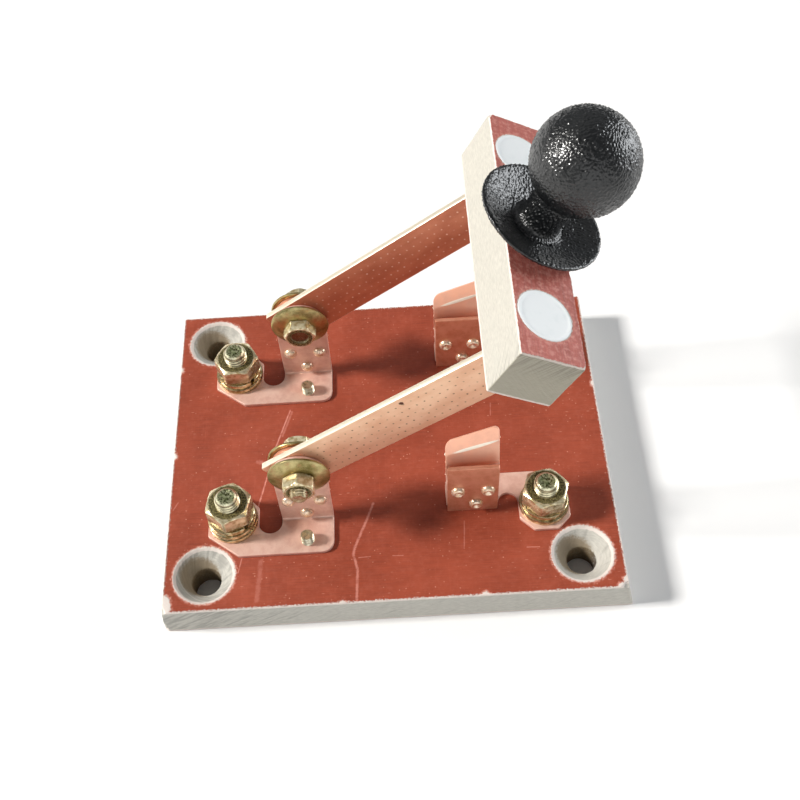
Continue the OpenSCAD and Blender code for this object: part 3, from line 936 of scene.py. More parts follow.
@dataclass(frozen=True)
class Metal:
    """Bare or plated metal with cloudy tarnish, fine grain and brushed lines."""

    name: str  # name of the material
    bright: Colour  # its clean colour
    dull: Colour  # its tarnished colour
    rough: float = 0.28  # its smoothest roughness
    spread: float = 0.2  # how much rougher it gets where it is tarnished
    tarnish: Point = (0.35, 0.7)  # noise levels between which tarnish sets in
    blotch: float = 3.0  # width of a blotch in millimetres
    grit: float = 0.01  # depth of the grain's bump in millimetres
    tint: Colour | None = None  # a second colour that shows here and there
    metallic: float = 1.0  # share of bare metal; the rest is dull film
    crease: Place | None = None  # frame whose x axis is the fold's crease, where light is painted, if it has one
    # painted light: colours of the lit wall under the crease, of its lower part, and of the highlight along
    # the crease
    glow: tuple[Colour, Colour, Colour] = ((250, 184, 152), (250, 200, 172), (255, 246, 228))

    def make(self) -> bpy.types.Material:
        """Two colours mixed by clouds, with finer clouds on top of them."""
        t = Tree(self.name, self.metallic)
        x, y, z = t.local(Place(np.zeros(3)))
        here = t.joined(x, y, z)
        cloud = t.noise(here, 1 / self.blotch, 5)
        fine = t.noise(here, 7.0, 4)
        share = (cloud + (fine - 0.5) * 0.35).step(*self.tarnish)
        colour = t.mix(share, self.bright, self.dull)
        if self.tint:
            colour = t.mix(t.noise(here, 1.7 / self.blotch, 3).step(0.5, 0.7) * 0.7, colour, self.tint)
        if self.crease:
            colour = self.rubbed(t, colour, share, fine)
        brushed = t.noise(t.joined(x * 0.5, y * 5.0, z * 5.0), 1.0, 3)
        t.bump(fine * 0.6 + brushed * 0.4, self.grit * MM)
        return t.finish(colour, share * self.spread + self.rough)

    def rubbed(self, t: Tree, colour: Socket, share: Field, fine: Field) -> Socket:
        """Painted light on the wall under the crease, and a painted highlight along it.

        Args:
            t: The material's tree.
            colour: Colour before.
            share: How tarnished the metal is.
            fine: Its fine grain.

        Returns:
            Colour after.
        """
        wall, lower, line = self.glow
        _, y, z = t.local(self.crease)
        # painted light: the wall under the fold made paler, less where tarnished, and palest low down
        band = z.step(-7.0, -6.0) * y.size().step(5.0, 4.5)
        colour = t.mix(band * (share * -0.3 + 0.9), colour, wall)
        colour = t.mix(band * z.step(-0.4, -2.6) * 0.4, colour, lower)
        # painted highlight: a bright line along the crease
        away = (y * y + z * z).math("SQRT") + (fine - 0.5) * 0.12
        return t.mix(away.step(0.5, 0.36), colour, line)


@dataclass(frozen=True)
class TurnedZinc:
    """Yellow-passivated zinc on a nut or a bolt's head, with a coarse dark face."""

    name: str  # name of the material
    place: Place  # frame with its origin in the middle of the outer face and z out of it
    face: float  # radius of the coarse face
    cup: float = 0.0  # radius of a darker recess in the face, or 0

    def make(self) -> bpy.types.Material:
        """Dark grit on the outer face up to its radius, cream edges, tan clouds elsewhere."""
        t = Tree(self.name, 0.7)
        x, y, z = t.local(self.place)
        here = t.joined(x, y, z)
        r = (x * x + y * y).math("SQRT")
        grit = t.noise(here, 2.6, 6)
        cloud = t.noise(here, 0.8, 4)
        side = t.mix(cloud.step(0.35, 0.68), (250, 238, 202), (190, 168, 120))
        side = t.mix(z.step(-1.9, -3.4) * 0.5, side, (128, 100, 62))
        flat = z.step(-0.3, -0.1) * (r + (grit - 0.5) * 0.5).step(self.face + 0.1, self.face - 0.25)
        face = t.mix(grit.step(0.36, 0.66), (52, 46, 24), (158, 146, 98))
        colour = t.mix(flat, side, face)
        if self.cup:
            darker_cup = r.step(self.cup + 0.1, self.cup - 0.2) * z.step(-0.9, -0.4)
            colour = t.mix(darker_cup, colour, (92, 56, 30))
        t.bump(grit * flat * 3.0 + cloud, 0.03 * MM)
        return t.finish(colour, flat * 0.24 + cloud * 0.1 + 0.2)


@dataclass(frozen=True)
class ThreadedZinc:
    """Zinc-plated thread, darker in its grooves, with a mottled sawn end."""

    name: str  # name of the material
    place: Place  # frame with its origin in the middle of the end and z out of it
    crest: float  # radius of the thread's crests
    depth: float  # depth of the thread

    def make(self) -> bpy.types.Material:
        """Cream crests, darker below them by the distance from the axis, green-grey end."""
        t = Tree(self.name, 0.85)
        x, y, z = t.local(self.place)
        here = t.joined(x, y, z)
        r = (x * x + y * y).math("SQRT")
        grit = t.noise(here, 1.9, 6)
        crest, deep = self.crest - 0.25 * self.depth, self.crest - 0.85 * self.depth
        groove = (r + (grit - 0.5) * 0.1).step(crest, deep)
        side = t.mix(groove * 0.85, (246, 238, 200), (104, 80, 44))
        end = t.mix(grit.step(0.4, 0.6), (76, 78, 42), (214, 214, 172))
        end = t.mix(t.noise(here, 0.9, 3).step(0.45, 0.65) * 0.6, end, (140, 156, 104))
        rim = (r + (grit - 0.5) * 0.4).step(self.crest * 0.66, self.crest * 0.8)
        end = t.mix(rim, end, (244, 240, 206))
        top = z.step(-0.6, -0.35)
        t.bump(grit * top * 2.0 + grit, 0.04 * MM)
        return t.finish(t.mix(top, side, end), grit * 0.2 + 0.2)


@dataclass(frozen=True)
class BladeMetal:
    """Rolled copper bar, pricked with fine staggered dots."""

    name: str  # name of the material
    place: Place  # frame of the blade: x along it, z across it
    bright: Colour = (240, 197, 164)  # its clean colour
    dull: Colour = (226, 174, 140)  # its darker colour
    dot: Colour = (96, 60, 38)  # colour of the dots
    pitch: float = 2.03  # distance between dots, along the blade and across it
    start: Point = (31.8, -0.18)  # place of one dot
    spots: tuple[Spot, ...] = ()  # larger dark specks

    def make(self) -> bpy.types.Material:
        """Clouds of two coppers, and dots on a square lattice: sqrt(u^2 + v^2) from its corners."""
        t = Tree(self.name, 0.6)
        x, y, z = t.local(self.place)
        here = t.joined(x, y, z)
        cloud = t.noise(t.joined(x * 0.5, y, z), 0.25, 5)
        colour = t.mix(cloud.step(0.3, 0.75), self.bright, self.dull)
        # cream edges: partly bare metal, partly a painted highlight
        colour = t.mix(z.size().step(6.0, 6.14), colour, (250, 238, 214))
        for sx, sz, radius in self.spots:
            away = t.gap(x, z, ((sx, sz, radius),)) + (t.noise(here, 1.5, 3) - 0.5) * 0.9
            colour = t.mix(away.step(0.15, -0.1), colour, (84, 46, 26))
        steps = [(way - begin) * (1 / self.pitch) + 0.5 for way, begin in zip((x, z), self.start)]
        u, v = (step.math("FRACT") - 0.5 for step in steps)
        gap = (u * u + v * v).math("SQRT") + (t.noise(here, 1.6, 3) - 0.5) * 0.12
        patch = t.noise(here, 0.35, 3).step(0.3, 0.62)
        pricked = gap.step(0.135, 0.06) * (patch * 0.8 + 0.2) * z.size().step(5.3, 5.1)
        grit = t.cells(here, 1.3).step(0.12, 0.05) * t.noise(here, 0.5, 2).step(0.45, 0.7) * 0.6
        pricked = pricked.most(grit)
        colour = t.mix(pricked * 0.8, colour, self.dot)
        t.bump(t.noise(t.joined(x * 0.4, y * 4.0, z * 4.0), 1.0, 3) * 0.3 - pricked, 0.02 * MM)
        return t.finish(colour, cloud * 0.14 + 0.3)


@dataclass(frozen=True)
class Moulded:
    """Moulded or painted plastic with a fine grain."""

    name: str  # name of the material
    colour: Colour  # its main colour
    worn: Colour  # colour of its scuffed places
    rough: float  # its roughness
    grain: float  # width of the grain in millimetres
    depth: float  # depth of the grain in millimetres
    specular: float = 0.5  # level of its mirror-like part
    coat: float = 0.0  # weight of a glossier coat
    coat_rough: float = 0.15  # roughness of that coat

    def make(self) -> bpy.types.Material:
        """One colour with scuffs, over cell-like grain."""
        t = Tree(self.name, 0.0, self.specular)
        t.shader.inputs["Coat Weight"].default_value = self.coat
        t.shader.inputs["Coat Roughness"].default_value = self.coat_rough
        here = t.joined(*t.local(Place(np.zeros(3))))
        scuff = t.noise(here, 0.45, 5)
        t.bump(t.cells(here, 1 / self.grain, "SMOOTH_F1"), self.depth * MM)
        return t.finish(t.mix(scuff.step(0.5, 0.85), self.colour, self.worn), scuff * 0.1 + self.rough)


# ---- workshop ----


class Workshop:
    """Turns shells into pieces that ride on their bodies and stand for their nodes."""

    def __init__(self, frame: dict) -> None:
        """Keeps the frame and the record's material slots.
        """
        self.frame = frame
        self.slots = {row["node"]: row["material_slot"] for row in frame["record"]["subparts"]}
        self.materials: dict[str, bpy.types.Material] = {}

    def middle(self, node: str) -> Array:
        """Middle of a node's box at rest, in millimetres."""
        low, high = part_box(node)
        return np.array((low + high) / 2) / MM

    def piece(self, node: str, shell: Shell, finish: object, sharp: float = 32.0) -> bpy.types.Object:
        """Makes the piece that stands for a node.

        Args:
            node: Name of the node.
            shell: The piece's points and faces.
            finish: Its finish.
            sharp: Angle past which an edge stays sharp, in degrees.

        Returns:
            The piece's object.
        """
        points = shell.all_points() * MM
        mesh = bpy.data.meshes.new(f"made_{node}")
        mesh.from_pydata(points.tolist(), [], shell.faces)
        work = bmesh.new()
        work.from_mesh(mesh)
        bmesh.ops.remove_doubles(work, verts=work.verts, dist=1e-7)
        bmesh.ops.recalc_face_normals(work, faces=work.faces)
        work.to_mesh(mesh)
        work.free()
        mesh.shade_smooth()
        mesh.set_sharp_from_angle(angle=math.radians(sharp))
        if finish.name not in self.materials:
            self.materials[finish.name] = finish.make()
        mesh.materials.append(self.materials[finish.name])
        made = bpy.data.objects.new(f"made_{node}", mesh)
        bpy.context.scene.collection.objects.link(made)
        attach(made, self.frame["nodes"][node]["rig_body"])
        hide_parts(node)
        LOG.info("%s: %d faces", made.name, len(mesh.polygons))
        return made


# ---- blocks: board and crossbar ----


@dataclass(frozen=True)
class Bore:
    """Hole or pocket in a block, from its upper face or its lower one."""

    x: float  # place along the block
    y: float  # place across it
    wall: tuple[Point, ...]  # radius and height pairs, from the face inwards
    through: bool = False  # whether the last pair lies on the other face
    upper: bool = True  # whether it starts on the upper face
    chatter: float = 0.05  # how ragged its wall is


@dataclass(frozen=True)
class Chip:
    """Dent left by a broken-out piece: an ellipsoid that pushes the surface in."""

    middle: Triple  # its middle, just outside the block
    radii: Triple  # its three radii

    def dent(self, points: Array) -> Array:
        """Points inside the uneven ellipsoid, carried out to its surface along its radii.

        Args:
            points: Points of the block, shape (..., 3).

        Returns:
            All the points.
        """
        way = (points - self.middle) / self.radii
        far = np.linalg.norm(way, axis=-1, keepdims=True)
        grow = 1 + 0.12 * lumps(points, 0.7, 4)[..., None]
        pushed = self.middle + way / np.maximum(far, 1e-6) * grow * self.radii
        return np.where(far < grow, pushed, points)


@dataclass
class Block:
    """Sawn block with ragged edges, bores and chips, from z = 0 up."""

    length: float  # size along x
    depth: float  # size along y
    height: float  # size along z
    bores: list[Bore]  # its holes and pockets
    chips: list[Chip]  # its broken places
    corner: float = 0.35  # length cut from each upright corner
    ragged: float = 0.12  # how far the edges wander inwards
    step: float = 0.35  # distance between points round the edge
    border: float = 1.7  # width of the worked border inside the edge of a face
    flare: Point = (0.0, 0.0)  # how far the two ends slope outwards towards the lower face

    def rim(self) -> Array:
        """Rounded rectangle with points at even lengths along it."""
        a, b = self.length / 2, self.depth / 2
        line = rounded([(-a, -b), (a, -b), (a, b), (-a, b)], self.corner, 6)
        closed = np.concatenate([line, line[:1]])
        around = np.linalg.norm(np.diff(closed, axis=0), axis=1).sum()
        return evenly(closed, int(around / self.step), endpoint=False)

    def walls(self) -> Array:
        """Rim pulled in near both faces and pushed about by noise and chips.

        Returns:
            Grid from the lower face's edge up to the upper face's edge.
        """
        h = self.height
        inset = [0.4, 0.2, 0.1, 0.04, 0.0]
        level = [0.0, 0.0, 0.0, 0.06, 0.2]
        middle = np.linspace(0.7, h - 0.7, max(3, int(h / 0.7)))
        border = np.array([0.0, 0.02, 0.06, 0.15, 0.3, 0.47, 0.7, 1.0]) * self.border
        inset = np.array(inset + [0.0] * (len(middle) + 1) + border.tolist())
        level = np.array(level + middle.tolist() + [h - 0.35, h - 0.15, h - 0.05] + [h] * 6)
        half = np.array([self.length / 2, self.depth / 2])
        xy = self.rim()[None] * ((half - inset[:, None]) / half)[:, None, :]
        p = np.concatenate([xy, np.broadcast_to(level[:, None, None], xy.shape[:2] + (1,))], -1)
        slope_start = 6.0
        for sign, out in zip((-1, 1), self.flare):
            share = np.clip((sign * p[..., 0] - half[0] + slope_start) / slope_start, 0, 1)
            p[..., 0] += sign * out * share * (1 - p[..., 2] / h)
        near = np.clip(1 - inset / (0.75 * min(self.border, 1.0)), 0, 1)[:, None]
        high = np.clip(1 - (h - level) / 0.6, 0, 1)[:, None] * near
        wander = np.abs(lumps(p * [1, 1, 0], 1.1, 1) + 0.6 * lumps(p * [1, 1, 0], 0.5, 2))
        rough = np.abs(lumps(p * [1, 1, 1.6], 0.8, 3)) * 0.06
        pull = (self.ragged * wander * high + rough * near * (inset[:, None] < 0.1))[..., None]
        p[..., :2] -= np.sign(p[..., :2]) * (np.abs(p[..., :2]) > half - 0.7) * pull
        p[..., 2] -= high * wander * self.ragged * 0.5
        reach = half + max(self.flare)
        for chip in self.chips:
            dented = chip.dent(p)
            dented[..., :2] = np.clip(dented[..., :2], -reach, reach)
            dented[..., 2] = np.clip(np.minimum(dented[..., 2], p[..., 2]), 0, h)
            p = dented
        return p

    def shell(self, place: Place) -> Shell:
        """Walls, bores, and the two faces between them.

        Args:
            place: Frame of the block.

        Returns:
            The closed block.
        """
        made = Shell()
        flat: list[Array] = []

        def keep(grid: Array) -> Array:
            """Adds a grid and remembers its flat coordinates."""
            flat.append(grid[..., :2].reshape(-1, 2))
            return made.surface(place.put(grid))

        wall = keep(self.walls())
        lower, upper = [wall[0]], [wall[-1]]
        for bore in self.bores:
            middle = [bore.x, bore.y, 0]
            grid = lathe(bore.wall, 72)
            shake = lumps(grid + middle, 0.9, 5) * bore.chatter
            radius = np.linalg.norm(grid[..., :2], axis=-1)
            grid[..., :2] *= (1 + shake / np.maximum(radius, 1))[..., None]
            index = keep(grid + middle)
            (upper if bore.upper else lower).append(index[0])
            if bore.through:
                lower.append(index[-1])
            else:
                made.cap(index[-1])
        plane = np.concatenate(flat)
        made.flat(plane, upper)
        made.flat(plane, lower)
        return made


BOARD_CHIPS = [
    Chip((-55.4, -44.3, 10.3), (2.4, 4.6, 1.4)),
    Chip((-56.0, -44.6, 1.0), (2.3, 2.0, 7.0)),
    Chip((54.3, -43.8, 10.3), (2.3, 1.7, 1.3)),
    Chip((-54.3, -1.0, 10.2), (0.8, 0.9, 0.9)),
    Chip((-54.3, 25.6, 10.2), (0.6, 0.7, 0.6)),
    Chip((54.3, 12.0, 10.2), (0.6, 1.0, 0.6)),
]
BOARD_BARE = (
    (-54.0, -42.2, 1.9), (-53.9, -40.7, 1.5), (54.2, -43.6, 1.6), (52.6, -43.6, 1.0), (54.0, -41.8, 0.8),
    (-54.1, -1.0, 0.7), (-54.1, 25.9, 0.6), (54.1, 14.0, 0.6), (-12.0, -43.8, 0.7), (21.0, -43.8, 0.8),
)
BOARD_SCRATCHES = (
    (0.45, 0.55, [(-4.2, -17.7), (-5.6, -21.4), (-8.9, -29.3), (-9.3, -31.1), (-8.4, -35.2), (-8.8, -43.4)]),
    (0.28, 0.75, [(-24.7, 11.1), (-28.0, 0.8), (-32.2, -16.8)]),
    (0.4, 0.35, [(-24.2, 10.6), (-26.6, 3.3)]),
    (0.8, 0.22, [(-31.2, -31.5), (-31.9, -41.6)]),
    (0.2, 0.6, [(-35.7, -30.3), (-36.5, -34.3)]),
    (0.9, 0.4, [(-32.4, -4.0), (-31.6, -4.2)]),
    (0.16, 0.5, [(-8.1, -32.1), (-5.3, -32.0)]),
    (0.16, 0.5, [(0.0, -32.1), (2.4, -32.2)]),
    (0.16, 0.6, [(31.7, -31.9), (34.6, -32.0)]),
    (0.2, 0.3, [(17.5, -24.0), (16.9, -31.3)]),
    (0.2, 0.3, [(26.8, 9.7), (26.5, 6.0)]),
    (0.2, 0.4, [(-51.9, -14.3), (-53.0, -16.4)]),
)


@dataclass
class Board:
    """Laminated board with countersunk fixing holes."""

    length: float = 108.0  # its length
    depth: float = 87.0  # its depth
    height: float = BOARD_TOP  # its thickness
    hole: float = 3.5  # radius of the fixing holes
    sink: float = 7.15  # radius of the countersinks
    sink_depth: float = 3.7  # their depth
    brow: float = 0.22  # height of their steeper rim
    inset: Point = (9.5, 9.2)  # distance of the fixing holes from the ends and the long edges
    stud_head: float = 6.17  # radius of the recesses under the studs
    head_depth: float = 4.4  # their depth
    flare: Point = (1.0, 2.1)  # how far the hinge end and the clip end slope outwards

    def holes(self) -> list[Point]:
        """Places of the four fixing holes."""
        x, y = self.length / 2 - self.inset[0], self.depth / 2 - self.inset[1]
        return [(i * x, j * y) for i in (-1, 1) for j in (-1, 1)]

    def fixing(self) -> tuple[Point, ...]:
        """Wall of a fixing hole: a worn rim, a straight cone, and the bore.

        Returns:
            Radius and height pairs, from the top down.
        """
        h, low, hole = self.height, self.height - self.sink_depth, self.hole
        top_r, top_z = self.sink - 0.15, h - self.brow
        cone = [(top_r + (hole - top_r) * s, top_z - (top_z - low) * s) for s in (0.2, 0.4, 0.6, 0.8, 0.95)]
        rim = [(self.sink + 0.25, h), (self.sink + 0.08, h - 0.04), (top_r, top_z)]
        bore = [(hole, low - 0.1), (hole, low - 1.2), (hole, low / 2), (hole, 0.2), (hole + 0.15, 0.0)]
        return (*rim, *cone, *bore)

    def build(self, shop: Workshop) -> None:
        """Makes the board.

        Args:
            shop: Workshop that makes the piece.
        """
        bores = [Bore(x, y, self.fixing(), through=True, chatter=0.07) for x, y in self.holes()]
        recess = ((self.stud_head + 0.1, 0.0), (self.stud_head, 0.1), (self.stud_head, self.head_depth))
        for end in End:
            for pole in Pole:
                x, y, _ = shop.middle(f"stud_{end.label}_{pole.label}")
                bores.append(Bore(x, y, recess, upper=False))
        block = Block(self.length, self.depth, self.height, bores, BOARD_CHIPS, flare=self.flare)
        finish = Laminate(
            "board_laminate",
            Place(np.array([0, 0, self.height / 2])),
            (self.length / 2, self.depth / 2, self.height / 2),
            red=(157, 70, 47),
            core=(200, 197, 188),
            bores=tuple((x, y, self.sink) for x, y in self.holes()),
            bare=BOARD_BARE,
            bore=self.hole,
            scratches=BOARD_SCRATCHES,
            mottle=0.14,
            frayed=0.3,
        )
        shop.piece("base_board", block.shell(Place(np.zeros(3))), finish)


# ---- poles ----


@dataclass
class Copper:
    """Bent copper strips, riveted jaws and rivets of one pole."""

    pole: Pole  # which pole
    pivot_x: float  # place of the hinge jaws
    clip_x: float  # place of the clip jaws
    blade_y: float  # middle plane of the blade
    stud_y: float  # line of the terminals
    pivot_h: float = 21.2  # height of the pivot above the board
    thick: float = STRIP_T  # thickness of the strips and jaws
    depth: float = 9.3  # distance from the terminals to the foot's long edge
    pad_w: float = 12.1  # width of the pad under a terminal
    pad_back: float = 6.7  # distance from the terminals to the pad's far edge
    pad_cut: float = 3.2  # length cut from the pad's far corners
    long_cut: Point = (7.5, 5.6)  # lengths cut from its near corner, along the foot and across it
    corner: float = 3.3  # radius of the foot's corner by the screw
    notch_depth: float = 3.7  # depth of the round notch between pad and tab
    bend: float = 0.6  # inner radius of the bend between foot and tab
    lap: float = 0.3  # how far a tab's plate reaches into the foot
    tab_w: float = 12.4  # width of the tabs
    jaw_w: float = 12.0  # width of the riveted jaws
    clip_jaw_h: float = 19.0  # height of the clip's riveted jaw
    step_z: float = 11.0  # height of the sideways step
    step_h: float = 1.2  # its rise
    fold: Point = (19.5, 23.7)  # heights of the clip's sloped fold at both sides
    flare: float = 2.8  # length of the lip above the fold
    lip_r: float = 1.5  # radius of the lip's corners
    lean: float = 28.0  # angle by which the lip leans back
    guide_z: float = 16.6  # height where the wall under the fold begins to lean
    guide_lean: float = 15.0  # angle by which it leans
    hinge_gap: float = 0.85  # half the hinge jaws' distance
    clip_gap: float = 0.9  # half the clip jaws' distance

    def build(self, shop: Workshop, copper: Metal, dark: Metal, bright: Metal) -> None:
        """Makes the pole's two strips, its two riveted jaws and their rivets.

        Args:
            shop: Workshop that makes the pieces.
            copper: Finish of the strips.
            dark: Finish of the jaws.
            bright: Finish of the rivets.
        """
        self.hinge(shop, copper, dark)
        self.clip(shop, copper, dark)
        label = self.pole.label
        hinge_spots = ((-3.75, 9.5), (3.75, 9.5), (0.0, 3.8))
        clip_spots = ((-3.5, 9.4), (3.5, 9.4), (0.8, 3.6))
        for end, spots in ((End.HINGE, hinge_spots), (End.CLIP, clip_spots)):
            rivets = Shell()
            for x, z in spots:
                spot = self.jaws(end).inside([x, 0, z], turned(0, 90))
                rivets.barrel(spot.put(lathe(self.rivet(end), 40)))
            shop.piece(f"{end.label}_rivets_{label}", rivets, bright)

    def gap(self, end: End) -> float:
        """Half the distance between the jaws of one end."""
        return self.hinge_gap if end is End.HINGE else self.clip_gap

    def jaws(self, end: End) -> Place:
        """Frame in the blade's middle plane, on the board under the jaws of one end."""
        x = self.pivot_x if end is End.HINGE else self.clip_x
        return Place(np.array([x, self.blade_y, BOARD_TOP]))

    def arc(self) -> float:
        """Length of the bend between foot and tab, along its middle line."""
        return (self.bend + self.thick / 2) * math.pi / 2

    def foot(self, reach: float, fold: float) -> tuple[Array, Array]:
        """Outline of a strip's flat foot: pad, round notch, arm, and the edge under the tab.

        Args:
            reach: Distance from the stud to the middle of the jaws.
            fold: Place of the tab's face across the strip.

        Returns:
            The outline, and 1 for each of its edges that is rounded.
        """
        half = self.pad_w / 2
        left, right = reach - self.tab_w / 2, reach + self.tab_w / 2
        edge = fold - self.bend
        r = (left - half) / 2
        a = np.linspace(0, -np.pi, 17)
        notch = np.stack([half + r + r * np.cos(a), r - self.notch_depth + r * np.sin(a)], 1)
        corners = [
            (-half, self.long_cut[1] - self.depth), (self.long_cut[0] - half, -self.depth),
            (right, -self.depth), (right, edge), (left, edge),
        ]
        pad = [
            (half, self.pad_back - self.pad_cut), (half - self.pad_cut, self.pad_back),
            (self.pad_cut - half, self.pad_back), (-half, self.pad_back - self.pad_cut),
        ]
        points = np.concatenate([corners, notch, pad])
        cut = np.concatenate([[0.4, 0.4, self.corner, 0, 0], np.zeros(len(a)), np.full(4, 0.35)])
        line = rounded(points, cut, 8)
        on_edge = np.abs(line[:, 1] - edge) < 1e-6
        return line, np.where(on_edge & np.roll(on_edge, -1), 0.0, 1.0)

    def strip(self, shop: Workshop, end: End, tab: BentPlate) -> Shell:
        """Foot and upright tab of one strip.

        Args:
            shop: Workshop that knows where the stud is.
            end: Which end of the pole.
            tab: The tab, from the foot up.

        Returns:
            The strip.
        """
        stud_x = shop.middle(f"stud_{end.label}_{self.pole.label}")[0]
        sign = -end.value
        jaws = self.jaws(end)
        home = Place(np.array([stud_x, self.stud_y, BOARD_TOP]), np.diag([sign, sign, 1.0]))
        face = sign * (self.blade_y - self.stud_y - self.gap(end)) - self.thick
        outline, weight = self.foot(sign * (jaws.origin[0] - stud_x), face)
        made = Shell().barrel(home.put(plate(outline, 0.0, self.thick, 0.16, weight)))
        return tab.shell(jaws, made)

    def stepped(
        self, y: float, z: float, heading: float, gap: float, lead: float, bend: Triple | None = None
    ) -> BentLine:
        """Upright line that steps sideways from one jaw's plane to the other's.

        Args:
            y: Where it starts across the blade.
            z: Where it starts in height.
            heading: Its first direction.
            gap: Half the distance of the two planes.
            lead: Length along the line from its start to the step.
            bend: Bend before the step, if it has one.

        Returns:
            The line.
        """
        angle = math.degrees(math.atan2(2 * gap, self.step_h))
        slant = math.hypot(2 * gap, self.step_h)
        arc = 0.4
        first = (bend,) if bend else ()
        steps = ((lead - arc / 2, arc, -angle), (lead + slant - arc / 2, arc, angle))
        return BentLine((y, z), heading, first + steps)

    def round_top(self, width: float, lead: float) -> Callable[[Array], Array]:
        """Length along an upright line to a round top about the pivot: lead + sqrt(r^2 - x^2)."""
        return lambda x: lead + np.sqrt(np.maximum((width / 2) ** 2 - x**2, 0))

    def hinge(self, shop: Workshop, copper: Metal, dark: Metal) -> None:
        """Makes the strip with a straight tab, and the stepped jaw behind it.

        Args:
            shop: Workshop that makes the pieces.
            copper: Finish of the strip.
            dark: Finish of the jaw.
        """
        t, gap, label = self.thick, self.hinge_gap, self.pole.label
        start = -(gap + t) - self.bend - self.lap
        line = BentLine((start, t / 2), 0.0, ((self.lap, self.arc(), 90.0),))
        lead = self.lap + self.arc() + self.pivot_h - (t + self.bend)
        tab = BentPlate(line, self.tab_w / 2, self.round_top(self.tab_w, lead), t)
        shop.piece(f"hinge_strip_{label}", self.strip(shop, End.HINGE, tab), copper)

        line = self.stepped(-gap + t / 2, 0.0, 90.0, gap, self.step_z)
        lead = self.pivot_h + math.hypot(2 * gap, self.step_h) - self.step_h
        jaw = BentPlate(line, self.jaw_w / 2, self.round_top(self.jaw_w, lead), t)
        shop.piece(f"hinge_jaw_{label}", jaw.shell(self.jaws(End.HINGE), Shell()), dark)

    def clip(self, shop: Workshop, copper: Metal, dark: Metal) -> None:
        """Makes the strip with a stepped tab and a leaning lip, and the flat jaw in front of it.

        Args:
            shop: Workshop that makes the pieces.
            copper: Finish of the strip.
            dark: Finish of the jaw.
        """
        t, gap, label = self.thick, self.clip_gap, self.pole.label
        start = -gap + t + self.bend + self.lap
        foot = self.lap + self.arc() - (t + self.bend)
        line = self.stepped(start, t / 2, 180.0, gap, foot + self.step_z, (self.lap, self.arc(), -90.0))
        extra = foot + math.hypot(2 * gap, self.step_h) - self.step_h
        line = replace(line, bends=(*line.bends, (self.guide_z + extra, 0.6, -self.guide_lean)))
        slope = math.atan2(self.fold[1] - self.fold[0], self.tab_w)
        fold = SlopedFold(sum(self.fold) / 2, math.degrees(slope), self.lean)
        half, r = self.tab_w / 2, self.lip_r

        def tall(x: Array) -> Array:
            """Fold's height plus the lip, less the drop of its two round corners."""
            past = np.clip(np.abs(x) - (half - r), 0, r)
            drop = r - np.sqrt(r * r - past**2)
            return fold.height(x) + self.flare / math.cos(slope) - drop + extra

        jaws = self.jaws(End.CLIP)
        back = gap + (fold.mid - self.guide_z) * math.tan(math.radians(self.guide_lean))
        crease = jaws.inside([0, back, fold.mid], turned(1, -fold.slope))
        strip = self.strip(shop, End.CLIP, BentPlate(line, half, tall, t, fold))
        shop.piece(f"clip_strip_{label}", strip, replace(copper, name=f"clip_copper_{label}", crease=crease))

        w = self.jaw_w / 2
        outline = rounded([(-w, 0), (w, 0), (w, self.clip_jaw_h), (-w, self.clip_jaw_h)], 0.35, 5)
        flat = plate(outline, gap, gap + t, 0.16)
        shop.piece(f"clip_jaw_{label}", Shell().barrel(jaws.put(upright(flat))), dark)

    def rivet(self, end: End) -> Array:
        """Profile of a rivet from its formed head in front to its tail behind.

        Args:
            end: Which end; the clips' heads have a raised ring and a deep dimple.

        Returns:
            Radius and height pairs, the front facing up.
        """
        top, low = self.gap(end) + self.thick, self.gap(end) - self.thick
        if end is End.CLIP:
            head = [
                (0.03, 0.42), (0.35, 0.45), (0.62, 0.62), (0.85, 0.86), (1.1, 0.98), (1.32, 0.88),
                (1.5, 0.62), (1.62, 0.36), (1.7, 0.12), (1.7, -0.02),
            ]
        else:
            head = [
                (0.03, 1.35), (0.35, 1.33), (0.7, 1.24), (1.0, 1.08), (1.3, 0.82), (1.52, 0.5),
                (1.62, 0.2), (1.62, -0.02),
            ]
        tail = [
            (1.1, 0.02), (1.3, 0.02), (1.35, -0.2), (1.15, -0.48), (0.75, -0.65), (0.3, -0.7), (0.03, -0.7),
        ]
        return np.array([(r, top + z) for r, z in head] + [(r, low + z) for r, z in tail])


def thread(radius: float, depth: float, pitch: float, low: float, high: float, chamfer: float) -> Array:
    """Threaded rod: r = radius - depth * |saw(z / pitch - a / 2 pi)|, turned down at the top.

    Args:
        radius: Radius of the crests.
        depth: Depth of the thread.
        pitch: Rise of one turn.
        low: Height where it begins.
        high: Height of its end.
        chamfer: Length of the turned-down end.

    Returns:
        Grid of points.
    """
    row_step = 0.07
    z = np.linspace(low, high, int((high - low) / row_step))[:, None]
    a = np.linspace(0, 2 * np.pi, 72, endpoint=False)[None]
    phase = z / pitch - a / (2 * np.pi)
    saw = np.abs(2 * (phase - np.floor(phase)) - 1)
    r = radius - depth * np.clip(saw * 1.35 - 0.15, 0, 1)
    r = np.minimum(r, radius - chamfer * 0.75 + (high - z) * 0.9)
    return np.stack([r * np.cos(a), r * np.sin(a), z + 0 * a], -1)


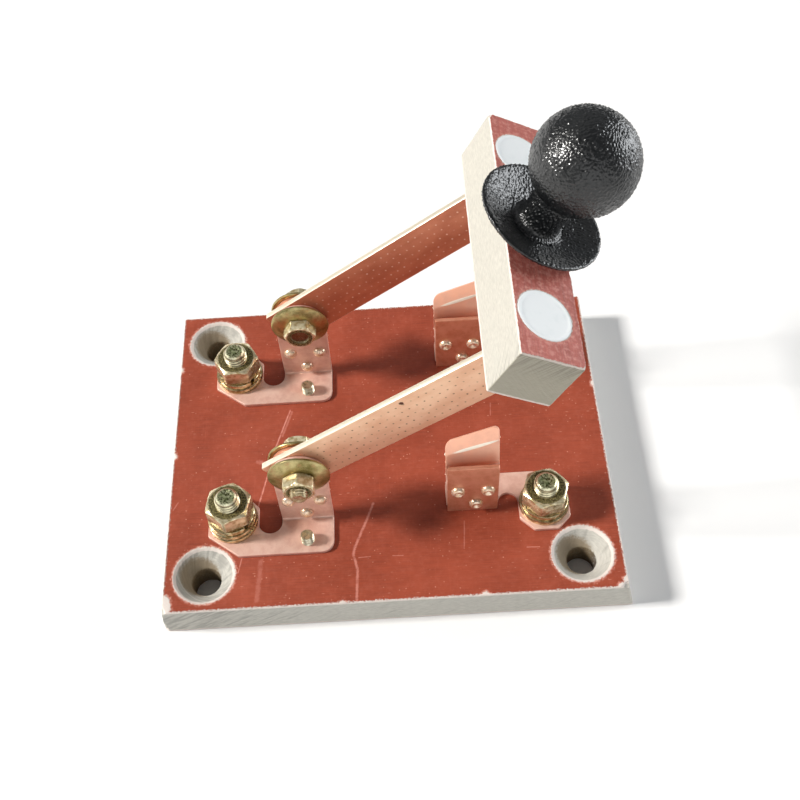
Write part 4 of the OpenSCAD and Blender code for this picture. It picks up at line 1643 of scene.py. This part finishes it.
def hexagon(af: float, low: float, high: float, bore: float, both: bool, face: float = 0.475) -> Array:
    """Nut: at each angle the smaller of the hexagon's radius and the chamfer cone's.

    Args:
        af: Width across the flats.
        low: Height of its lower face.
        high: Height of its upper face.
        bore: Radius of its bore.
        both: Whether the lower face is chamfered too.
        face: Radius of the flat face, as a share of the width.

    Returns:
        Grid that closes along its rows and round its columns.
    """
    cone_rise, no_cone = 1.55, 9.0
    worn_corner = 1.135
    a = np.linspace(0, 2 * np.pi, 120, endpoint=False)[None]
    off = np.mod(a, np.pi / 3) - np.pi / 6
    hexa = np.minimum(af / 2 / np.cos(off), af / 2 * worn_corner)
    d = np.array([0.0, 0.12, 0.25, 0.4, 0.55, 0.7, 0.9])
    z = np.concatenate([low + d, [(low + high) / 2], high - d[::-1]])[:, None]
    cone_top = af * face + (high - z) * cone_rise
    cone_low = af * face + (z - low) * (cone_rise if both else no_cone)
    r = np.minimum(hexa, np.minimum(cone_top, cone_low))
    side = np.stack([r * np.cos(a), r * np.sin(a), z + 0 * a], -1)
    lip = 0.45
    hole = lathe([(bore + lip, high), (bore, high - lip), (bore, low + lip), (bore + lip, low)], 120)
    return np.concatenate([side, hole])


def ring(outer: float, inner: float, low: float, high: float, edge: float) -> Array:
    """Profile of a flat washer with rounded outer edges."""
    return np.array([
        (inner, low), (outer - edge, low), (outer - 0.3 * edge, low + 0.3 * edge), (outer, low + edge),
        (outer, high - edge), (outer - 0.3 * edge, high - 0.3 * edge), (outer - edge, high), (inner, high),
    ])


@dataclass
class Terminal:
    """Stud, washers, split spring washer and nut of one terminal."""

    end: End  # which end of the pole
    pole: Pole  # which pole
    turn: float  # how far the nut is turned
    washers: int = 1  # number of flat washers
    washer_t: float = 1.5  # thickness of a flat washer
    spring_t: float = 1.5  # thickness of the spring washer
    nut_h: float = 4.9  # height of the nut
    rise: float = 11.8  # height of the stud's end above the board, over one washer
    stud_r: float = 2.9  # radius of its thread's crests
    groove: float = 0.42  # depth of its thread

    def build(self, shop: Workshop, zinc: Metal) -> None:
        """Makes the terminal's pieces from the strip up.

        Args:
            shop: Workshop that makes the pieces.
            zinc: Finish of the washers.
        """
        name = f"{self.end.label}_{self.pole.label}"
        x, y, _ = shop.middle(f"stud_{name}")
        home = Place(np.array([x, y, 0.0]))
        level = BOARD_TOP + STRIP_T
        for count in range(self.washers):
            profile = ring(6.0 - 0.15 * count, 3.1, level, level + self.washer_t, 0.3)
            washer = Shell().hoop(home.put(lathe(profile, 96)))
            shop.piece("second_washer" if count else f"washer_{name}", washer, zinc)
            level += self.washer_t
        spring = Shell().barrel(home.inside([0, 0, level]).put(self.split_ring()))
        shop.piece(f"spring_{name}", spring, zinc)
        level += self.spring_t
        spot = home.inside([0, 0, 0], turned(2, self.turn))
        nut = Shell().hoop(spot.put(hexagon(10.0, level, level + self.nut_h, 2.75, True)))
        face = home.inside([0, 0, level + self.nut_h])
        shop.piece(f"nut_{name}", nut, TurnedZinc(f"nut_zinc_{name}", face, 4.6))
        stud, end = self.stud(home, level + 2.0)
        finish = ThreadedZinc(f"stud_zinc_{name}", home.inside([0, 0, end]), self.stud_r, self.groove)
        shop.piece(f"stud_{name}", stud, finish)

    def stud(self, home: Place, low: float) -> tuple[Shell, float]:
        """Threaded end with an uneven sawn tip, plain middle, and sunk hexagon head.

        Args:
            home: Frame on the stud's axis, level with the board's underside.
            low: Height where its thread begins, inside the nut.

        Returns:
            The stud, and the height of its end.
        """
        end = BOARD_TOP + self.rise + (self.washers - 1) * self.washer_t
        rod = thread(self.stud_r, self.groove, 1.0, low, end, 1.2)
        middle = lathe([(2.2, 3.0), (2.2, low)], 72)
        tip = lathe([(1.85, end), (1.4, end - 0.12), (0.7, end - 0.2), (0.2, end - 0.16)], 72)
        tip[..., 2] += 0.1 * lumps(home.put(tip), 0.7, 6) * (np.arange(4)[:, None] > 0)
        head = lathe([(5.0, 0.45), (5.4, 0.7), (5.4, 4.3)], 6)
        return Shell().barrel(home.put(np.concatenate([middle, rod, tip]))).barrel(home.put(head)), end

    def split_ring(self) -> Array:
        """Rounded square section carried round an arc that stops short at a slanting split.

        Returns:
            Grid of points, one row for each angle.
        """
        split_at = -50.0 if self.end is End.HINGE else 130.0
        outer, inner, h = 5.6, 3.1, self.spring_t
        mean, width, lean = 4.4, 0.45, 25.0
        section = rounded([(inner, 0), (outer, 0), (outer, h), (inner, h)], 0.3, 3)
        r, z = section[None, :, 0], section[None, :, 1]
        gap = width / mean
        a = np.linspace(gap, 2 * np.pi - gap, 90)[:, None] + math.radians(split_at)
        a = a + (z - h / 2) * math.tan(math.radians(lean)) / mean
        return np.stack([r * np.cos(a), r * np.sin(a), z + 0 * a], -1)


@dataclass
class StripScrews:
    """Ends of the screws that hold the strips' free ends, for both poles."""

    end: End  # which end of the poles
    x: float  # place of the jaws
    stud_y: Point  # lines of the terminals, front and back
    offset: float = 6.2  # distance of a screw from its line
    rise: float = 3.9  # height of a screw's end above it

    def build(self, shop: Workshop, finish: Metal) -> None:
        """Makes both screws: a fine thread with a blunt end, and a sunk head below.

        Args:
            shop: Workshop that makes the piece.
            finish: Their finish.
        """
        made = Shell()
        tip_z = BOARD_TOP + self.rise
        for y in self.stud_y:
            home = Place(np.array([self.x, y + self.end.value * self.offset, 0.0]))
            low = lathe([(2.6, 0.02), (1.3, 1.32), (1.1, BOARD_TOP)], 72)
            rod = thread(1.6, 0.26, 0.62, BOARD_TOP + 0.6, tip_z, 0.35)
            end = lathe([(1.15, tip_z + 0.02), (0.7, tip_z - 0.1), (0.1, tip_z - 0.05)], 72)
            made.barrel(home.put(np.concatenate([low, rod, end])))
        shop.piece(f"strip_screws_{self.end.label}", made, finish)


@dataclass
class Pivot:
    """Bolt, nut and dished washers of one pivot."""

    pole: Pole  # which pole
    middle: Array  # pivot axis in the blade's middle plane
    face: float = 1.85  # distance from there to the jaws' outer faces
    dish: float = 0.8  # thickness of the dished washers
    dish_rise: float = 0.9  # height of their dish
    dish_d: float = 14.2  # their diameter
    af: float = 7.0  # width of head and nut across their flats
    head_h: float = 2.8  # height of the bolt's head
    nut_h: float = 3.2  # height of the nut
    tail: float = 1.6  # how far the bolt's end stands out of the nut

    def side(self, way: int) -> Place:
        """Frame on the pivot axis whose z points to the front (-1) or the back (1)."""
        return Place(self.middle, turned(0, -90.0 * way))

    def build(self, shop: Workshop, olive: Metal) -> None:
        """Makes the pivot's pieces.

        Args:
            shop: Workshop that makes the pieces.
            olive: Finish of the washers.
        """
        label, sign = self.pole.label, self.pole.value
        start = self.face + self.dish + self.dish_rise
        head, tail = self.side(-sign), self.side(sign)
        top, end, nut_top = start + self.head_h, start + self.nut_h + self.tail, start + self.nut_h
        form = hexagon(self.af, start, top, 1.0, False)[:-4]
        cup = lathe([(2.25, top), (2.05, top - 0.5), (0.2, top - 0.55)], 120)
        bolt = Shell().barrel(head.put(np.concatenate([lathe([(0.2, start)], 120), form, cup])))
        shank = lathe([(1.6, -start), (1.6, start + 1.0)], 72)
        rod = thread(2.0, 0.3, 0.7, start + 1.0, end, 0.5)
        tip = lathe([(1.3, end), (0.6, end - 0.1), (0.1, end - 0.1)], 72)
        bolt.barrel(tail.put(np.concatenate([shank, rod, tip])))
        finish = TurnedZinc(f"bolt_zinc_{label}", head.inside([0, 0, top]), 3.2, 2.1)
        shop.piece(f"pivot_bolt_{label}", bolt, finish)

        spot = tail.inside([0, 0, 0], turned(2, 30.0))
        nut = Shell().hoop(spot.put(hexagon(self.af, start, nut_top, 1.9, True)))
        finish = TurnedZinc(f"pivot_zinc_{label}", tail.inside([0, 0, nut_top]), 3.0)
        shop.piece(f"pivot_nut_{label}", nut, finish)

        washers = Shell()
        for way in (-1, 1):
            spot = self.side(way).inside([0, 0, self.face])
            washers.hoop(spot.put(lathe(self.dished(), 96)))
        shop.piece(f"dished_washers_{label}", washers, olive)

    def dished(self) -> Array:
        """Profile of a dished washer: both faces rise by a sine from the rim to a flat middle.

        Returns:
            Radius and height pairs, closed along its rows.
        """
        r, rise, top = self.dish_d / 2, self.dish_rise, self.dish + self.dish_rise
        inner, flat, rim = 2.2, 3.2, 0.82
        edge, foot, power = r - 0.3, r - 0.9, 0.9
        outer = [(r - 0.25, 0.0), (r - 0.07, 0.12), (r, 0.35), (r - 0.05, 0.6), (edge, rim)]
        s = np.linspace(0, 1, 12)
        upper = np.stack([edge + (flat - edge) * s, rim + (top - rim) * np.sin(s * np.pi / 2) ** power], 1)
        under = np.stack([flat + (foot - flat) * s, rise * np.cos(s * np.pi / 2) ** power], 1)
        return np.concatenate([outer, upper, [(inner, top), (inner, rise)], under])


# ---- lever ----


@dataclass
class Lever:
    """Blades, crossbar, caps and knob."""

    pivot: Array  # pivot axis at y = 0
    blade_y: Point  # middle planes of the blades, front and back
    open: float = 37.4  # angle of the blades above level
    blade_w: float = 12.4  # width of the blades
    blade_t: float = 1.5  # their thickness
    tail: float = 6.0  # how far they reach past the pivot
    blade_end: float = 62.5  # their length to the end inside the crossbar
    bar_along: float = 66.0  # distance from the pivot to the crossbar's middle, along the blades
    bar_rise: float = 4.2  # its distance above their middle line
    bar_tilt: float = 25.2  # angle by which it is turned further than they are
    bar_len: float = 64.6  # its length
    bar_w: float = 14.2  # width of its red face
    bar_t: float = 13.4  # its thickness
    cap_r: float = 6.0  # radius of the caps
    cap_shift: float = 0.6  # how far they stand above the red face's middle
    knob_shift: float = 1.5  # how far the knob does

    def frame(self) -> Place:
        """Lever frame: x along the blades."""
        return Place(self.pivot, turned(1, -self.open))

    def bar(self) -> Place:
        """Crossbar frame: x out of the face that carries the knob, its middle at the origin."""
        mid = sum(self.blade_y) / 2
        return self.frame().inside([self.bar_along, mid, self.bar_rise], turned(1, -self.bar_tilt))

    def build(self, shop: Workshop) -> None:
        """Makes the lever's six pieces.

        Args:
            shop: Workshop that makes the pieces.
        """
        for pole, y in zip(Pole, self.blade_y):
            self.blade(shop, pole, y)
        self.crossbar(shop)
        self.knob(shop)

    def blade(self, shop: Workshop, pole: Pole, y: float) -> None:
        """Makes a rounded bar from its tail into the crossbar; the front one has a dark speck.

        Args:
            shop: Workshop that makes the piece.
            pole: Which pole.
            y: Its middle plane.
        """
        home = self.frame().inside([0, y, 0])
        w, tail, end = self.blade_w / 2, -self.tail, self.blade_end
        corners = [(tail, -w), (end - 2.0, -w), (end, -w + 2.0), (end, w - 1.0), (end - 6.5, w), (tail, w)]
        outline = rounded(corners, [0.9, 0, 0, 0, 0, 0.9], 6)
        flat = plate(outline, -self.blade_t / 2, self.blade_t / 2, 0.2)
        finish = BladeMetal(f"blade_copper_{pole.label}", home, spots=((33.8, 4.5, 0.45),))
        if pole is Pole.BACK:
            # same copper as the front blade: these darker, redder colours and light dots paint the light
            # that falls on the back blade
            shade = {"bright": (214, 140, 108), "dull": (194, 118, 88), "dot": (252, 226, 200)}
            finish = replace(finish, spots=(), **shade)
        shop.piece(f"blade_{pole.label}", Shell().barrel(home.put(upright(flat))), finish)

    def crossbar(self, shop: Workshop) -> None:
        """Makes the sawn block with a red face, and two caps sunk in it.

        Args:
            shop: Workshop that makes the pieces.
        """
        axes = np.array([[0, 1, 0], [0, 0, 1], [1, 0, 0]], float)
        home = self.bar().inside([-self.bar_t / 2, 0, 0], axes)
        mid = sum(self.blade_y) / 2
        h, r = self.bar_t, self.cap_r
        seat = ((r + 0.05, h), (r + 0.03, h - 0.08), (r + 0.03, h - 0.9))
        bores = [Bore(y - mid, self.cap_shift, seat, chatter=0.0) for y in self.blade_y]
        chips = [
            Chip((-32.5, -7.3, 13.7), (1.2, 1.0, 0.9)),
            Chip((32.5, 7.3, 13.7), (1.6, 0.9, 0.8)),
            Chip((-9.0, -7.4, 13.7), (1.8, 0.6, 0.6)),
            Chip((6.0, -7.4, 13.7), (1.1, 0.6, 0.6)),
        ]
        block = Block(self.bar_len, self.bar_w, h, bores, chips, 0.25, ragged=0.16, step=0.3, border=0.4)
        finish = Laminate(
            "crossbar_laminate",
            self.bar().inside([0, 0, 0], axes),
            (self.bar_len / 2, self.bar_w / 2, h / 2),
            red=(188, 102, 90),
            core=(202, 198, 187),
            bores=tuple((y - mid, self.cap_shift, r + 0.05) for y in self.blade_y),
            end=(176, 170, 154),
            bloom=(226, 164, 152),
            mottle=0.6,
            frayed=0.08,
            sawn=0.6,
            fringe=0.3,
        )
        shop.piece("crossbar", block.shell(home), finish)
        profile = [
            (0.1, -1.6), (r - 0.1, -1.6), (r, -1.4), (r, -0.1), (r - 0.1, 0.05), (r - 0.35, 0.1),
            (r - 0.6, 0.07), (r - 0.8, -0.03), (r - 1.1, -0.04), (0.1, 0.0),
        ]
        for pole, y in zip(Pole, self.blade_y):
            spot = home.inside([y - mid, self.cap_shift, h])
            shop.piece(f"cap_{pole.label}", Shell().barrel(spot.put(lathe(profile, 96))), WHITE)

    def knob(self, shop: Workshop) -> None:
        """Makes the ball on its neck and dished flange, sunk between pebbles along its normal.

        Args:
            shop: Workshop that makes the piece.
        """
        r, neck, foot, rim, ball_h = 10.8, 4.5, 6.0, 13.75, 19.0
        rim_h, rim_t = 3.7, 0.9
        grain, relief = 0.64, 0.19
        a = np.linspace(np.pi - math.asin(neck / r), 0.004, 150)
        ball = np.stack([r * np.sin(a), ball_h + r * np.cos(a)], 1)
        corners = [
            (0.02, 0), (foot, 0), (foot + 1.6, 0.5), (rim - 1.6, rim_h - rim_t - 1.0),
            (rim, rim_h - rim_t + 0.1), (rim, rim_h), (rim - rim_t, rim_h), (foot + 1.6, 1.95),
            (neck + 0.9, 1.6), (neck, 2.7), (neck, 9.0), (0.02, 9.0),
        ]
        flange = rounded(corners, [0, 0, 1.0, 1.0, 0.4, 0.42, 0.42, 2.0, 0.8, 0.8, 0, 0], 6)[:-2]
        line = evenly(np.concatenate([flange, ball[1:]]), 290)
        grid = lathe(line, 335)
        normal = np.cross(np.roll(grid, -1, 1) - np.roll(grid, 1, 1), np.gradient(grid, axis=0))
        normal /= np.maximum(np.linalg.norm(normal, axis=-1, keepdims=True), TINY)
        faded = np.clip(line[:, 0] / 0.6, 0, 1)[:, None] * (line[:, 1] > 0.02)[:, None]
        sunk = (pebbles(grid + [40, 40, 40], grain) - 1) * relief * faded
        home = self.bar().inside([self.bar_t / 2, self.knob_shift, 0], turned(1, 90))
        shop.piece("knob", Shell().barrel(home.put(grid + normal * sunk[..., None])), BLACK, sharp=80.0)


# ---- studio ----


@dataclass
class Studio:
    """Pale floor, soft lights and the camera."""

    pitch: float = 55.282  # how far the camera looks down, in degrees
    yaw: float = -0.533  # how far it looks to the right
    roll: float = -3.809  # how far it is tilted
    target: Triple = (3.699, 12.313, 10.0)  # point in the middle of its view, in millimetres
    distance: float = 287.747  # how far it stands from that point
    lens: float = 50.131  # focal length on a 36 mm sensor

    def build(self) -> None:
        """Sets the floor, the lights, the surroundings and the camera."""
        self.floor()
        self.lamp("window", (-0.79, 0.0, 0.60), 2.5, 0.42, 80.0, (1.0, 0.975, 0.94))
        self.lamp("top", (0.0, 0.6, 0.8), 2.5, 2.0, 4.0, (1.0, 1.0, 1.0))
        self.lamp("side", (0.95, 0.27, 0.14), 2.2, 1.5, 52.0, (0.94, 0.97, 1.0))
        self.lamp("front", (0.1, -0.95, 0.18), 2.0, 2.4, 18.0, (1.0, 1.0, 1.0))
        self.air()
        bpy.context.scene.view_settings.view_transform = "Standard"
        self.camera()

    def air(self) -> None:
        """Faint even light all round, behind a plain pale backdrop that only the camera meets."""
        world = bpy.data.worlds.new("studio_air")
        world.use_nodes = True
        nodes, links = world.node_tree.nodes, world.node_tree.links
        faint = nodes["Background"]
        backdrop, choice = nodes.new("ShaderNodeBackground"), nodes.new("ShaderNodeMixShader")
        path = nodes.new("ShaderNodeLightPath")
        faint.inputs["Color"].default_value = (0.94, 0.97, 1.0, 1)
        faint.inputs["Strength"].default_value = 0.14
        backdrop.inputs["Color"].default_value = (0.96, 0.96, 0.96, 1)
        links.new(choice.inputs[0], path.outputs["Is Camera Ray"])
        links.new(choice.inputs[1], faint.outputs[0])
        links.new(choice.inputs[2], backdrop.outputs[0])
        links.new(nodes["World Output"].inputs["Surface"], choice.outputs[0])
        bpy.context.scene.world = world

    def floor(self) -> None:
        """Flat pale floor just under the board."""
        half, low = 2.0, -0.0001
        mesh = bpy.data.meshes.new("floor")
        corners = [(x * half, y * half, low) for x, y in ((-1, -1), (1, -1), (1, 1), (-1, 1))]
        mesh.from_pydata(corners, [], [(0, 1, 2, 3)])
        t = Tree("pale_floor", 0.0, 0.1)
        cloud = t.noise(t.object_place, 3.0, 2)
        mesh.materials.append(t.finish(t.mix(cloud, (250, 250, 249), (247, 247, 247)), 0.9))
        made = bpy.data.objects.new("floor", mesh)
        bpy.context.scene.collection.objects.link(made)

    def lamp(self, name: str, way: Triple, far: float, size: float, watts: float, colour: Triple) -> None:
        """Soft square light that looks at the switch.

        Args:
            name: Name of the light.
            way: Direction to it.
            far: Distance to it in metres.
            size: Its side in metres.
            watts: Its strength.
            colour: Its colour.
        """
        data = bpy.data.lights.new(name, "AREA")
        data.size, data.energy, data.color = size, watts, colour
        made = bpy.data.objects.new(name, data)
        spot = Vector(way).normalized() * far
        made.matrix_world = Matrix.Translation(spot) @ (-spot).to_track_quat("-Z", "Y").to_matrix().to_4x4()
        bpy.context.scene.collection.objects.link(made)

    def camera(self) -> None:
        """Places the camera from its pitch, yaw and roll."""
        p, w, o = (math.radians(v) for v in (self.pitch, self.yaw, self.roll))
        ahead = Vector((math.sin(w) * math.cos(p), math.cos(w) * math.cos(p), -math.sin(p)))
        right = Vector((math.cos(w), -math.sin(w), 0))
        up = right.cross(ahead)
        side = math.cos(o) * right + math.sin(o) * up
        top = -math.sin(o) * right + math.cos(o) * up
        data = bpy.data.cameras.new("camera")
        data.lens, data.sensor_width = self.lens, 36.0
        made = bpy.data.objects.new("camera", data)
        place = (Vector(self.target) - self.distance * ahead) * MM
        rows = Matrix((side, top, -ahead)).transposed().to_4x4()
        made.matrix_world = Matrix.Translation(place) @ rows
        bpy.context.scene.collection.objects.link(made)
        bpy.context.scene.camera = made


COPPER = Metal("strip_copper", (240, 200, 182), (222, 174, 156), rough=0.3, spread=0.16, metallic=0.3)
JAW = Metal("jaw_copper", (224, 156, 126), (204, 130, 98), rough=0.3, spread=0.14, metallic=0.4)
RIVET = Metal("rivet_metal", (252, 230, 206), (222, 186, 150), rough=0.22, blotch=1.2, metallic=0.7)
ZINC = Metal("zinc_plate", (240, 226, 184), (160, 134, 88), rough=0.2, blotch=1.6, tint=(142, 114, 72))
OLIVE = Metal("olive_zinc", (196, 182, 130), (124, 112, 64), rough=0.28, blotch=3.5, tint=(176, 136, 96))
SCREW = Metal("screw_metal", (240, 232, 206), (160, 150, 118), rough=0.28, blotch=1.0)
WHITE = Moulded("white_cap", (246, 249, 249), (236, 241, 241), 0.5, 0.4, 0.004)
BLACK = Moulded("black_knob", (4, 6, 8), (11, 14, 17), 0.36, 0.42, 0.1, 0.44, 0.7)


def main() -> None:
    """Builds the board, the poles, the lever and the studio in order."""
    logging.basicConfig(level=logging.INFO, format="%(name)s: %(message)s")
    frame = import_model()
    shop = Workshop(frame)
    Board().build(shop)

    pivot = np.array(frame["joints"][0]["pos_m"]) / MM
    clip_x = shop.middle("clip_jaw_front")[0]
    blade_y = tuple(shop.middle(f"blade_{pole.label}")[1] for pole in Pole)
    stud_y = tuple(shop.middle(f"stud_clip_{pole.label}")[1] for pole in Pole)
    turn = {Pole.FRONT: 20.0, Pole.BACK: 0.0}
    washers = {Pole.FRONT: 2, Pole.BACK: 1}
    for pole, blade, stud in zip(Pole, blade_y, stud_y):
        Copper(pole, pivot[0], clip_x, blade, stud).build(shop, COPPER, JAW, RIVET)
        Terminal(End.HINGE, pole, turn[pole], washers[pole]).build(shop, ZINC)
        Terminal(End.CLIP, pole, 12.0).build(shop, ZINC)
        Pivot(pole, np.array([pivot[0], blade, pivot[2]])).build(shop, OLIVE)
    for end, x in ((End.HINGE, pivot[0]), (End.CLIP, clip_x)):
        StripScrews(end, x, stud_y).build(shop, SCREW)
    Lever(np.array([pivot[0], 0.0, pivot[2]]), blade_y).build(shop)
    Studio().build()


if __name__ == "__main__":
    main()
